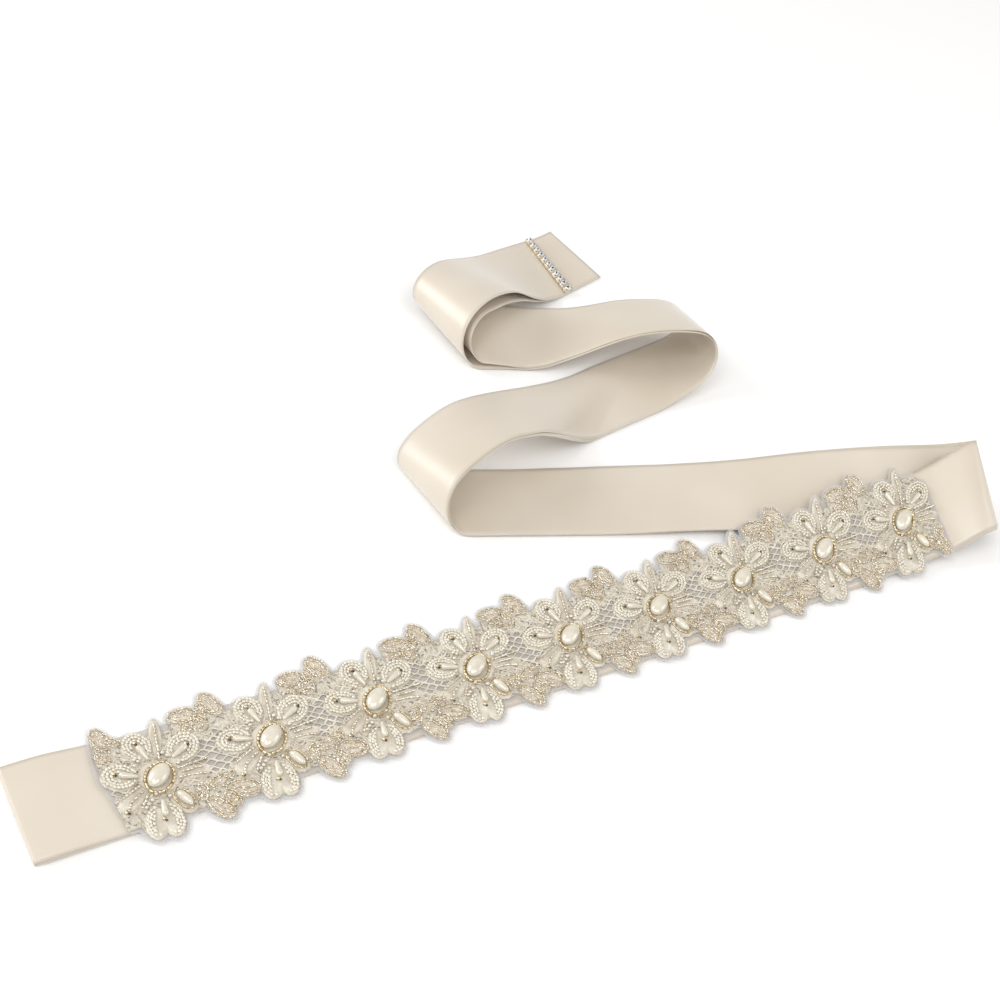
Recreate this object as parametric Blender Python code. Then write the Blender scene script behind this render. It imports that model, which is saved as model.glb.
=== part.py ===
"""Bridal sash: a satin ribbon folded to two layers, with a beaded lace trim.

The ribbon is one developable strip. Its middle line is walked in short steps,
and at each step the strip turns about a roll line that crosses it. The upper
layer lies on the outer side of that strip and the under layer on its inner
side. The trim is drawn flat, in distances along and across the sash, and laid
on the upper layer.
"""

import math

import bmesh
import bpy
import numpy as np

MM = 0.001

# Ribbon
RIBBON_WIDTH = 50.0 * MM
WALL = 1.0 * MM
GAP = 0.3 * MM
STEP = 4.0 * MM
PATH_LENGTH = 1500.0 * MM
UPPER_START = 2.0 * MM
UPPER_END = 1464.0 * MM
UNDER_END = 1488.0 * MM
FLOOR_LIFT = 2.0 * MM
FOLD_SEGMENTS = 10

# Start of the walk, at the fold on the left
START_HEADING_DEG = 38.9
START_HEIGHT = 8.5 * MM
START_PITCH_DEG = 0.5
START_BANK_DEG = 4.4

# Bends: place along the sash, length of the bend, and turn towards the upper face
BENDS = (
    # name, at_mm, length_mm, turn_deg
    ("fall from the fold", 26, 67, -11.0),
    ("onto the surface", 64, 90, 10.5),
    ("rise to the right loop", 406, 122, 5.5),
    ("lift before the right loop", 543, 60, 84.0),
    ("right loop", 570, 85, -268.0),
    ("far run settles", 601, 81, 14.5),
    ("left loop", 913, 72, -156.5),
    ("left loop, top", 965, 67, -31.0),
    ("middle run meets the surface", 1084, 60, 17.0),
    ("lift before the right turn", 1120, 69, 13.5),
    ("right turn", 1162, 60, 156.0),
    ("right turn, top", 1208, 63, 18.0),
    ("back run falls", 1265, 79, -26.5),
    ("back run meets the surface", 1302, 60, 39.0),
    ("top loop", 1334, 95, -203.5),
    ("top loop, crest", 1377, 63, -26.5),
    ("tail settles", 1418, 60, 10.0),
    ("tail end", 1460, 60, 17.5),
)

# Lean of the roll line: how far it runs along the sash for each unit across
LEANS = (
    # at_mm, lean
    (440, 0.0),
    (520, -0.13),
    (560, 0.44),
    (580, 0.05),
    (600, 0.35),
    (660, 0.0),
    (840, 0.0),
    (880, 0.74),
    (925, 0.17),
    (970, 0.14),
    (1030, 1.22),
    (1085, 1.62),
    (1130, 0.81),
    (1165, 0.17),
    (1205, 0.29),
    (1260, 0.04),
    (1310, 0.78),
    (1345, 0.26),
    (1385, 0.02),
    (1440, 0.37),
    (1500, 0.0),
)

# Slow twists of the straight runs
TWISTS = (
    # name, at_mm, length_mm, twist_deg
    ("front run", 60, 100, -4.0),
    ("rise to the right loop", 430, 160, 13.0),
    ("far run", 690, 160, 30.0),
    ("middle run", 1060, 120, 40.0),
    ("back run", 1260, 100, -29.0),
    ("tail", 1420, 80, 20.0),
)

# Room left between the two layers, beyond the seam gap
LAYER_ROOM = (
    # at_mm, room_mm
    (0, 3.2),
    (35, 1.6),
    (80, 0.0),
    (1290, 0.0),
    (1325, 3.5),
    (1350, 6.5),
    (1375, 8.0),
    (1395, 5.5),
    (1415, 2.0),
    (1435, 0.5),
    (1455, 0.0),
)

# How far the far edge sinks below the walked strip as the front run settles
FAR_EDGE_SETTLES = (
    # at_mm, drop_mm
    (20, 0.0),
    (70, 1.4),
    (300, 1.4),
    (420, 0.0),
)

# Sideways slip of the under layer against the upper one, towards the far edge
UNDER_SLIP = (
    # at_mm, slip_mm
    (0, -1.0),
    (500, -0.5),
    (570, -1.5),
    (700, -0.5),
    (920, 0.0),
    (1040, -2.2),
    (1110, 0.0),
    (1180, 1.2),
    (1240, 1.2),
    (1300, 0.6),
    (1350, 0.0),
)

# Stretches of the sash, one node of each layer for each
STRETCHES = (
    # name, from_mm, to_mm, longest section, turn in a section
    ("front", 2, 538, 5, 2.0),
    ("right_loop", 538, 606, 18, 12.0),
    ("far", 606, 880, 18, 12.0),
    ("left_loop", 880, 1002, 18, 12.0),
    ("middle", 1002, 1112, 8, 12.0),
    ("right_turn", 1112, 1226, 12, 12.0),
    ("back", 1226, 1292, 8, 12.0),
    ("top_loop", 1292, 1400, 18, 12.0),
    ("tail", 1400, 1488, 8, 3.0),
)

# Trim, in mm along and across from the middle of a flower
FLOWERS = 9
FIRST_FLOWER = 66.6
FLOWER_PITCH = 55.2
PEARLS_NEARER = 1.5
ROLL_LINE_TRIES = 24

# Line along which the trim's middle is sewn on, and how far its far side is pulled along
TRIM_LINE = (
    # along, across, pull for each unit across
    (0.0, -2.4, 0.0),
    (55.0, -1.2, 0.0),
    (110.0, 0.8, 0.03),
    (220.0, 1.5, 0.08),
    (330.0, 2.2, 0.13),
    (385.0, 2.2, 0.16),
    (440.0, 1.5, 0.18),
)

# Sheer backing: its near and far edge through one repeat
BACKING_REPEAT = (
    # along, near edge, far edge
    (-14.0, -29.0, 31.0),
    (-12.5, -30.5, 27.0),
    (-10.0, -31.0, 25.0),
    (-7.0, -30.0, 25.5),
    (-4.0, -31.5, 26.5),
    (-1.0, -31.0, 27.5),
    (2.0, -27.0, 27.5),
    (5.0, -24.5, 27.5),
    (7.5, -25.0, 30.0),
    (9.5, -24.5, 31.0),
    (11.5, -24.5, 26.5),
    (13.0, -26.0, 24.5),
    (15.0, -28.0, 27.5),
    (17.0, -29.5, 30.0),
    (20.0, -31.0, 31.5),
    (24.0, -31.0, 31.5),
    (27.0, -27.5, 31.5),
    (30.0, -26.5, 31.0),
    (33.0, -27.0, 34.0),
    (35.0, -26.5, 36.0),
    (37.0, -25.0, 37.0),
    (39.0, -26.0, 35.5),
)
SEARCH_FROM = 45.0 * MM
SEARCH_STEP = 0.25 * MM
SEARCH_STEPS = 300
BACKING_LEFT_END = (
    # along, near edge, far edge
    (-28.0, -4.0, 14.0),
    (-26.5, -12.0, 22.0),
    (-24.0, -16.0, 28.0),
    (-21.0, -19.0, 32.0),
    (-18.0, -21.0, 33.0),
    (-15.5, -25.0, 31.5),
)
BACKING_RIGHT_END = (
    # along, near edge, far edge
    (10.5, -26.0, 29.0),
    (13.5, -28.5, 27.5),
    (16.0, -30.5, 25.0),
    (18.5, -31.5, 22.0),
    (21.0, -31.5, 18.0),
    (23.0, -29.0, 11.0),
    (24.2, -19.0, 0.0),
    (24.6, -9.0, -10.0),
)

# Flower: ellipses about its middle, angle counted from the sash's run to its far edge
FLOWER_CORE = 10.0
FLOWER_PETALS = (
    # name, angle_deg, middle, half length, half width
    ("upper left", 100.0, 17.0, 9.0, 7.5),
    ("upper right", 36.0, 16.5, 8.5, 7.0),
    ("left", 162.0, 16.5, 8.5, 7.0),
    ("lower, left lobe", 249.0, 21.5, 8.6, 5.5),
    ("lower, right lobe", 266.0, 21.5, 8.6, 5.5),
    ("rice pearl", 291.0, 14.0, 6.5, 4.2),
    ("pointed", 71.0, 19.0, 10.5, 3.0),
    ("lower rays", 207.0, 14.0, 8.0, 4.5),
    ("right leaf", 350.0, 14.0, 8.0, 4.0),
)
FLOWER_POINTS = 36
CURVED_FLOWERS = (1, 2, 7, 8, 9)
RINGS_WHERE_CURVED = 3

# Pearl drops standing on the flower
PEARL_DROPS = (
    # name, angle_deg, inner end, outer end, half width
    ("upper left", 101.0, 11.0, 19.0, 1.9),
    ("upper right", 37.0, 12.0, 20.0, 1.9),
    ("left", 162.0, 10.5, 18.5, 1.9),
    ("lower", 253.0, 13.5, 21.5, 2.0),
    ("rice pearl", 291.0, 9.3, 18.3, 2.1),
)
DROP_SIDES = 6
DROP_RINGS = 4
DROP_MIDDLE_HEIGHT = 0.8

# Oval pearl in the middle of each flower
PEARL_HALF_LENGTH = 6.2
PEARL_HALF_WIDTH = 4.7
PEARL_HEIGHT = 4.6
PEARL_LEAN_DEG = 24.0
PEARL_SIDES = 14
PEARL_RINGS = 3

# Leaf sprays: place of the spray's middle, and its leaves as ellipses about it
UPPER_SPRAY = (
    # leaf, angle_deg, middle, half length, half width
    ("left", 165.0, 6.5, 6.5, 4.5),
    ("tip", 58.0, 6.0, 6.5, 3.8),
    ("right", 345.0, 5.0, 5.5, 3.5),
    ("low", 262.0, 4.0, 5.0, 4.0),
)
LOWER_SPRAY = (
    # leaf, angle_deg, middle, half length, half width
    ("tip", 262.0, 5.5, 5.5, 4.5),
    ("right", 342.0, 6.0, 5.5, 3.5),
    ("left", 190.0, 5.0, 4.5, 3.5),
    ("top", 80.0, 4.0, 4.5, 4.0),
)
LEFT_SPRAY = (
    # leaf, angle_deg, middle, half length, half width
    ("tip", 92.0, 6.0, 6.0, 4.0),
    ("low", 225.0, 4.0, 4.0, 3.5),
)
RIGHT_SPRAY = (
    # leaf, angle_deg, middle, half length, half width
    ("tip", 283.0, 6.0, 6.5, 3.8),
    ("top", 60.0, 3.5, 4.5, 3.5),
)
UPPER_SPRAY_AT = (28.5, 24.5)
LOWER_SPRAY_AT = (25.0, -19.0)
LEFT_SPRAY_AT = (-18.5, 21.0)
RIGHT_SPRAY_AT = (17.5, -17.0)
SPRAY_POINTS = 24
SPRAY_CORE = 3.0

# Heights above the middle between the two layers
UPPER_FACE = GAP / 2 + WALL
BACKING_BASE = UPPER_FACE + GAP
BACKING_TOP = BACKING_BASE + WALL
LACE_BASE = BACKING_TOP + GAP
LACE_TOP = LACE_BASE + WALL

# Cup chain across the end of the upper layer
CHAIN_CUPS = 10
CHAIN_INSET = 3.4
CHAIN_CUP = 4.4
CHAIN_LINK = 0.6
CHAIN_LINK_HEIGHT = 1.2
CHAIN_CUP_HEIGHT = 3.2
CHAIN_CUP_SLOPE = 0.3

SATIN = ("satin", (0.82, 0.76, 0.67), 0.35, 0.0)
ORGANZA = ("organza", (0.78, 0.77, 0.76), 0.60, 0.0)
LACE = ("lace", (0.86, 0.83, 0.76), 0.70, 0.0)
SPRAY = ("leaf_beads", (0.76, 0.72, 0.64), 0.45, 0.0)
PEARL = ("pearl", (0.90, 0.88, 0.82), 0.20, 0.0)
CHAIN = ("cup_chain", (0.80, 0.74, 0.62), 0.25, 1.0)
SHARP_EDGE_DEG = 40.0


def clear_scene():
    for item in list(bpy.data.objects):
        bpy.data.objects.remove(item, do_unlink=True)


def material(look):
    name, colour, roughness, metallic = look
    result = bpy.data.materials.get(name)
    if result is None:
        result = bpy.data.materials.new(name)
        result.use_nodes = True
        shader = result.node_tree.nodes["Principled BSDF"]
        shader.inputs["Base Color"].default_value = (*colour, 1.0)
        shader.inputs["Roughness"].default_value = roughness
        shader.inputs["Metallic"].default_value = metallic
    return result


def new_object(name, points, faces, look):
    mesh = bpy.data.meshes.new(name)
    mesh.from_pydata([tuple(point) for point in points], [], faces)
    shape = bmesh.new()
    shape.from_mesh(mesh)
    bmesh.ops.recalc_face_normals(shape, faces=shape.faces)
    bmesh.ops.triangulate(shape, faces=shape.faces)
    shape.to_mesh(mesh)
    shape.free()
    mesh.shade_smooth()
    mesh.set_sharp_from_angle(angle=math.radians(SHARP_EDGE_DEG))
    mesh.materials.append(material(look))
    result = bpy.data.objects.new(name, mesh)
    bpy.context.scene.collection.objects.link(result)
    return result


# The strip that both layers follow

def swell(places, middle, length):
    """Raised cosine over one bend, with an area of 1."""
    share = (places - middle) / length
    return np.where(np.abs(share) < 0.5, (1.0 + np.cos(2.0 * np.pi * share)) / length, 0.0)


def table_column(table, column):
    return np.array([row[column] for row in table], float)


def turn_about(vector, axis, angle):
    """Turn a vector about a unit axis."""
    along = axis * np.dot(axis, vector) * (1.0 - math.cos(angle))
    return vector * math.cos(angle) + np.cross(axis, vector) * math.sin(angle) + along


def walk_strip():
    """Middle line, run, across and normal directions, and the roll line's lean, at each step.

    Over one step the strip turns by the bend there about the roll line across - and along
    the run where that line leans - and by the slow twist about the run.
    """
    places = np.arange(0.0, PATH_LENGTH + STEP, STEP)
    middles = places[:-1] + STEP / 2
    bend = np.zeros(len(middles))
    for _, at, length, turn in BENDS:
        bend += swell(middles, at * MM, length * MM) * math.radians(turn)
    twist = np.zeros(len(middles))
    for _, at, length, turn in TWISTS:
        twist += swell(middles, at * MM, length * MM) * math.radians(turn)
    lean_at = table_column(LEANS, 0) * MM
    lean_value = table_column(LEANS, 1)
    lean = np.interp(places, lean_at, lean_value)
    lean_middle = np.interp(middles, lean_at, lean_value)

    heading = math.radians(START_HEADING_DEG)
    pitch = math.radians(START_PITCH_DEG)
    bank = math.radians(START_BANK_DEG)
    run = np.array([math.cos(heading) * math.cos(pitch), math.sin(heading) * math.cos(pitch), math.sin(pitch)])
    level = np.array([-math.sin(heading), math.cos(heading), 0.0])
    upward = np.cross(run, level)
    across = level * math.cos(bank) + upward * math.sin(bank)
    centre = np.array([0.0, 0.0, START_HEIGHT])
    centres = [centre]
    runs = [run]
    acrosses = [across]
    for turn, slow, slope in zip(bend, twist, lean_middle):
        spin = ((slow - turn * slope) * run - turn * across) * STEP
        angle = float(np.linalg.norm(spin))
        axis = spin / angle if angle > 1e-9 else across
        centre = centre + turn_about(run, axis, angle / 2) * STEP
        run = turn_about(run, axis, angle)
        across = turn_about(across, axis, angle)
        centres.append(centre)
        runs.append(run)
        acrosses.append(across)
    centres = np.array(centres)
    runs = np.array(runs)
    acrosses = np.array(acrosses)
    normals = np.cross(runs, acrosses)
    return places, centres, runs, acrosses, normals, lean, bend


PLACES, CENTRES, RUNS, ACROSSES, NORMALS, LEAN, BEND = walk_strip()


def between(rows, places):
    """Read rows of vectors at places between the steps."""
    return np.stack([np.interp(places, PLACES, rows[:, axis]) for axis in range(3)], axis=1)


def strip_points(places, across, height):
    """Points on the roll lines at the given places, across from the middle line and above it."""
    lean = np.interp(places, PLACES, LEAN)[:, None]
    run = between(RUNS, places)
    side = between(ACROSSES, places)
    normal = between(NORMALS, places)
    across = np.asarray(across, float)[:, None]
    height = np.asarray(height, float)[:, None]
    return between(CENTRES, places) + across * (side + lean * run) + height * normal


def room(places):
    return np.interp(places, table_column(LAYER_ROOM, 0) * MM, table_column(LAYER_ROOM, 1) * MM)


def settled(places):
    return np.interp(places, table_column(FAR_EDGE_SETTLES, 0) * MM, table_column(FAR_EDGE_SETTLES, 1) * MM)


def slip(places):
    return np.interp(places, table_column(UNDER_SLIP, 0) * MM, table_column(UNDER_SLIP, 1) * MM)


def edge_lift(places, side):
    """How far an edge moves up from the walked strip: down to the surface, but not through it."""
    half = np.full(len(places), side * RIBBON_WIDTH / 2)
    outer = strip_points(places, half, np.full(len(places), UPPER_FACE))
    inner = strip_points(places, half + slip(places), -(GAP / 2 + room(places) + WALL))
    drop = FLOOR_LIFT + (settled(places) if side > 0 else 0.0)
    return np.maximum(-drop, -np.minimum(outer[:, 2], inner[:, 2]))


def lift(places, across):
    """Move of any point, read straight across between the two edges."""
    near = edge_lift(places, -1)
    far = edge_lift(places, 1)
    share = across / RIBBON_WIDTH + 0.5
    return near + (far - near) * share


def laid_points(places, across, height):
    """Points on the strip after it is laid on the surface."""
    points = strip_points(places, across, height)
    points[:, 2] += lift(places, across)
    return points


def layer_edge(places, side, layer, face):
    """One edge of a layer: side -1 near or 1 far, layer upper or under, face outer or inner."""
    half = np.full(len(places), side * RIBBON_WIDTH / 2)
    if layer == "upper":
        height = np.full(len(places), UPPER_FACE if face == "outer" else GAP / 2)
        points = strip_points(places, half, height)
    else:
        depth = GAP / 2 + room(places)
        if face == "outer":
            depth = depth + WALL
        points = strip_points(places, half + slip(places), -depth)
    points[:, 2] += lift(places, half)
    return points


def stations(first, last, length_limit, turn_limit):
    """Places from first to last, closer together where the strip bends."""
    fine = np.arange(first, last, STEP / 4)
    bend = np.abs(np.interp(fine, PLACES[:-1] + STEP / 2, BEND)) * STEP / 4
    chosen = [first]
    turned = 0.0
    for place, turn in zip(fine[1:], bend[1:]):
        turned += turn
        if turned > turn_limit or place - chosen[-1] > length_limit:
            chosen.append(float(place))
            turned = 0.0
    if last - chosen[-1] < STEP / 2:
        chosen.pop()
    chosen.append(last)
    return np.array(chosen)


def wall_between(name, lower_near, lower_far, upper_far, upper_near, look):
    """Closed wall through sections of four corners.

    Both broad sides are split along the same diagonal, so stacked walls stay parallel.
    """
    corners = np.stack([lower_near, lower_far, upper_far, upper_near], axis=1)
    points = corners.reshape(-1, 3)
    faces = [(0, 1, 2, 3)]
    for index in range(len(corners) - 1):
        near_low, far_low, far_high, near_high = range(4 * index, 4 * index + 4)
        faces.append((near_low, far_low, far_low + 4))
        faces.append((near_low, far_low + 4, near_low + 4))
        faces.append((near_high, far_high + 4, far_high))
        faces.append((near_high, near_high + 4, far_high + 4))
        faces.append((far_low, far_high, far_high + 4, far_low + 4))
        faces.append((near_high, near_low, near_low + 4, near_high + 4))
    end = len(points) - 4
    faces.append((end + 3, end + 2, end + 1, end))
    return new_object(name, points, faces, look)


def ribbon_layer(layer, end):
    for name, start_mm, end_mm, length_mm, turn_deg in STRETCHES:
        first = start_mm * MM + GAP / 2
        last = min(end_mm * MM, end) - GAP / 2
        places = stations(first, last, length_mm * MM, math.radians(turn_deg))
        wall_between(
            f"ribbon_{layer}_{name}",
            layer_edge(places, -1, layer, "inner"),
            layer_edge(places, 1, layer, "inner"),
            layer_edge(places, 1, layer, "outer"),
            layer_edge(places, -1, layer, "outer"),
            SATIN,
        )


def left_fold():
    """Round fold that joins the start of both layers."""
    place = np.array([UPPER_START - GAP / 2])
    rims = {}
    for side in (-1, 1):
        top = layer_edge(place, side, "upper", "outer")[0]
        top_inside = layer_edge(place, side, "upper", "inner")[0]
        bottom = layer_edge(place, side, "under", "outer")[0]
        bottom_inside = layer_edge(place, side, "under", "inner")[0]
        back = -between(RUNS, place)[0]
        outer = []
        inner = []
        for index in range(FOLD_SEGMENTS + 1):
            angle = math.pi * index / FOLD_SEGMENTS
            for line, upper, lower in ((outer, top, bottom), (inner, top_inside, bottom_inside)):
                middle = (upper + lower) / 2
                arm = (upper - lower) / 2
                reach = np.linalg.norm(arm)
                line.append(middle + arm * math.cos(angle) + back * reach * math.sin(angle))
        rims[side] = (np.array(outer), np.array(inner))
    near_outer, near_inner = rims[-1]
    far_outer, far_inner = rims[1]
    return wall_between("ribbon_fold", near_inner, far_inner, far_outer, near_outer, SATIN)


# The trim, drawn flat and laid on the upper layer

def trim_points(along_mm, across_mm, height):
    """Lay flat trim points on the strip: each finds the roll line that passes through it."""
    along_mm = np.asarray(along_mm, float)
    sewn = np.interp(along_mm, table_column(TRIM_LINE, 0), table_column(TRIM_LINE, 1))
    pull = np.interp(along_mm, table_column(TRIM_LINE, 0), table_column(TRIM_LINE, 2))
    across = (np.asarray(across_mm, float) + sewn) * MM
    along = (along_mm + FIRST_FLOWER) * MM + across * pull
    places = along.copy()
    for _ in range(ROLL_LINE_TRIES):
        places = along - across * np.interp(places, PLACES, LEAN)
    heights = np.broadcast_to(np.asarray(height, float), places.shape)
    return laid_points(places, across, heights)


def backing_rows():
    rows = list(BACKING_LEFT_END)
    for flower in range(FLOWERS):
        shift = flower * FLOWER_PITCH
        for along, near, far in BACKING_REPEAT:
            if flower == FLOWERS - 1 and along > BACKING_RIGHT_END[0][0] - 1.0:
                break
            rows.append((along + shift, near, far))
    last = (FLOWERS - 1) * FLOWER_PITCH
    rows.extend((along + last, near, far) for along, near, far in BACKING_RIGHT_END)
    return np.array(rows)


def backing():
    """Backing wall whose rows follow the strip's roll lines, so it bends as the ribbon does."""
    along, near, far = backing_rows().T
    sewn = np.interp(along, table_column(TRIM_LINE, 0), table_column(TRIM_LINE, 1))
    pull = np.interp(along, table_column(TRIM_LINE, 0), table_column(TRIM_LINE, 2))
    along = (along + FIRST_FLOWER) * MM
    outlines = {"near": (near + sewn) * MM, "far": (far + sewn) * MM}
    beyond_end = np.arange(along[-1], along[-1] + RIBBON_WIDTH / 2, STEP / 2)
    places = np.unique(np.concatenate([along, beyond_end]))
    slant = np.interp(places, PLACES, LEAN) - np.interp(places, along, pull)
    ends = {}
    for name, sign in (("near", -1.0), ("far", 1.0)):
        # Walk in from well outside until the row meets the outline
        reach = np.full(len(places), sign * SEARCH_FROM)
        for _ in range(SEARCH_STEPS):
            limit = np.interp(places + reach * slant, along, outlines[name])
            reach = np.where(sign * reach > sign * limit, reach - sign * SEARCH_STEP, reach)
        ends[name] = reach
    kept = ends["far"] - ends["near"] > WALL
    places = places[kept]
    near_edge = ends["near"][kept]
    far_edge = ends["far"][kept]
    base = np.full(len(places), BACKING_BASE)
    top = np.full(len(places), BACKING_TOP)
    wall_between(
        "trim_backing",
        laid_points(places, near_edge, base),
        laid_points(places, far_edge, base),
        laid_points(places, far_edge, top),
        laid_points(places, near_edge, top),
        ORGANZA,
    )


def petal_outline(petals, core, count):
    """Farthest reach of a core disc and ellipses about it, in each direction."""
    directions = np.arange(count) * 2.0 * np.pi / count
    reach = np.full(count, core)
    for _, angle_deg, middle, half_length, half_width in petals:
        offset = directions - math.radians(angle_deg)
        cos = np.cos(offset)
        sin = np.sin(offset)
        # Ray against the ellipse: square term, linear term and constant
        square = (cos / half_length) ** 2 + (sin / half_width) ** 2
        linear = -2.0 * cos * middle / half_length ** 2
        constant = (middle / half_length) ** 2 - 1.0
        inside = linear ** 2 - 4.0 * square * constant
        far = (-linear + np.sqrt(np.maximum(inside, 0.0))) / (2.0 * square)
        reach = np.where(inside > 0.0, np.maximum(reach, far), reach)
    return directions, reach


def flat_plate(directions, reach, rings, base, top):
    """Plate with the outline about its middle: points along, across and high, and faces."""
    count = len(directions)
    shares = np.arange(rings, 0, -1) / rings
    along = np.append(np.outer(shares, reach * np.cos(directions)), 0.0)
    across = np.append(np.outer(shares, reach * np.sin(directions)), 0.0)
    shift = rings * count + 1
    lower = np.stack([along, across, np.full(shift, base)], axis=1)
    upper = np.stack([along, across, np.full(shift, top)], axis=1)
    points = np.concatenate([lower, upper])
    faces = []
    hub = shift - 1
    inmost = (rings - 1) * count
    for index in range(count):
        after = (index + 1) % count
        faces.append((index, after, after + shift, index + shift))
        for ring in range(rings - 1):
            corner = ring * count + index
            beside = ring * count + after
            faces.append((corner, corner + count, beside + count, beside))
            faces.append((corner + shift, beside + shift, beside + count + shift, corner + count + shift))
        faces.append((hub, inmost + after, inmost + index))
        faces.append((hub + shift, inmost + index + shift, inmost + after + shift))
    return points, faces


def drop_shape(angle_deg, inner, outer, half_width):
    """Rounded drop lying along its direction, in flat trim measures."""
    angle = math.radians(angle_deg)
    middle = (inner + outer) / 2
    half_length = (outer - inner) / 2
    height = LACE_TOP / MM + DROP_MIDDLE_HEIGHT
    rows = [(-1.0, 0.0)]
    for ring in range(1, DROP_RINGS):
        tilt = math.pi * ring / DROP_RINGS
        rows.append((-math.cos(tilt), math.sin(tilt)))
    rows.append((1.0, 0.0))
    points = []
    faces = []
    for index, (lengthwise, girth) in enumerate(rows):
        sides = 1 if girth == 0.0 else DROP_SIDES
        for side in range(sides):
            round_angle = 2.0 * math.pi * side / DROP_SIDES
            along = middle + lengthwise * half_length
            across = girth * half_width * math.cos(round_angle)
            points.append((
                along * math.cos(angle) - across * math.sin(angle),
                along * math.sin(angle) + across * math.cos(angle) - PEARLS_NEARER,
                height + girth * half_width * math.sin(round_angle),
            ))
    last = len(points) - 1
    for side in range(DROP_SIDES):
        after = (side + 1) % DROP_SIDES
        faces.append((0, 1 + side, 1 + after))
        for ring in range(DROP_RINGS - 2):
            start = 1 + ring * DROP_SIDES
            faces.append((start + side, start + DROP_SIDES + side, start + DROP_SIDES + after, start + after))
        start = 1 + (DROP_RINGS - 2) * DROP_SIDES
        faces.append((start + side, last, start + after))
    return points, faces


def flower_template(rings):
    """One flower with its raised pearl drops, joined, in flat trim measures."""
    directions, reach = petal_outline(FLOWER_PETALS, FLOWER_CORE, FLOWER_POINTS)
    points, faces = flat_plate(directions, reach, rings, LACE_BASE / MM, LACE_TOP / MM)
    plate = new_object("flower_plate", points, faces, LACE)
    cutters = []
    for name, angle, inner, outer, half_width in PEARL_DROPS:
        drop_points, drop_faces = drop_shape(angle, inner, outer, half_width)
        drop = new_object(f"drop_{name}", drop_points, drop_faces, LACE)
        drop.hide_render = True
        drop.display_type = "WIRE"
        joined = plate.modifiers.new("Pearl drop", "BOOLEAN")
        joined.operation = "UNION"
        joined.solver = "EXACT"
        joined.object = drop
        cutters.append(drop)
    bpy.context.view_layer.update()
    shape = plate.evaluated_get(bpy.context.evaluated_depsgraph_get())
    mesh = shape.to_mesh()
    flat = np.array([tuple(vertex.co) for vertex in mesh.vertices])
    polygons = [tuple(polygon.vertices) for polygon in mesh.polygons]
    shape.to_mesh_clear()
    for item in [plate, *cutters]:
        bpy.data.objects.remove(item, do_unlink=True)
    return flat, polygons


def flowers():
    templates = {rings: flower_template(rings) for rings in (1, RINGS_WHERE_CURVED)}
    for number in range(FLOWERS):
        flat, polygons = templates[RINGS_WHERE_CURVED if number + 1 in CURVED_FLOWERS else 1]
        points = trim_points(flat[:, 0] + number * FLOWER_PITCH, flat[:, 1], flat[:, 2] * MM)
        new_object(f"flower_{number + 1}", points, polygons, LACE)


def spray(name, leaves, place, number, rings=1):
    directions, reach = petal_outline(leaves, SPRAY_CORE, SPRAY_POINTS)
    points, faces = flat_plate(directions, reach, rings, LACE_BASE / MM, LACE_TOP / MM)
    along = points[:, 0] + place[0] + number * FLOWER_PITCH
    across = points[:, 1] + place[1]
    new_object(name, trim_points(along, across, points[:, 2] * MM), faces, SPRAY)


def sprays():
    spray("spray_left_end", LEFT_SPRAY, LEFT_SPRAY_AT, 0, RINGS_WHERE_CURVED)
    for number in range(FLOWERS - 1):
        spray(f"spray_upper_{number + 1}", UPPER_SPRAY, UPPER_SPRAY_AT, number)
        spray(f"spray_lower_{number + 1}", LOWER_SPRAY, LOWER_SPRAY_AT, number)
    spray("spray_right_end", RIGHT_SPRAY, RIGHT_SPRAY_AT, FLOWERS - 1, RINGS_WHERE_CURVED)


def pearls():
    """Oval domes with a flat base on each flower's middle."""
    lean = math.radians(90.0 - PEARL_LEAN_DEG)
    base = LACE_TOP / MM + GAP / MM
    points = []
    faces = []
    for ring in range(PEARL_RINGS):
        tilt = math.pi / 2 * ring / PEARL_RINGS
        for side in range(PEARL_SIDES):
            angle = 2.0 * math.pi * side / PEARL_SIDES
            lengthwise = PEARL_HALF_LENGTH * math.cos(tilt) * math.cos(angle)
            sideways = PEARL_HALF_WIDTH * math.cos(tilt) * math.sin(angle)
            points.append((
                lengthwise * math.cos(lean) - sideways * math.sin(lean),
                lengthwise * math.sin(lean) + sideways * math.cos(lean) - PEARLS_NEARER,
                base + PEARL_HEIGHT * math.sin(tilt),
            ))
    points.append((0.0, -PEARLS_NEARER, base + PEARL_HEIGHT))
    top = len(points) - 1
    faces.append(tuple(range(PEARL_SIDES - 1, -1, -1)))
    for side in range(PEARL_SIDES):
        after = (side + 1) % PEARL_SIDES
        for ring in range(PEARL_RINGS - 1):
            start = ring * PEARL_SIDES
            faces.append((start + side, start + after, start + PEARL_SIDES + after, start + PEARL_SIDES + side))
        start = (PEARL_RINGS - 1) * PEARL_SIDES
        faces.append((start + side, start + after, top))
    flat = np.array(points)
    for number in range(FLOWERS):
        placed = trim_points(flat[:, 0] + number * FLOWER_PITCH, flat[:, 1], flat[:, 2] * MM)
        new_object(f"pearl_{number + 1}", placed, faces, PEARL)


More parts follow.
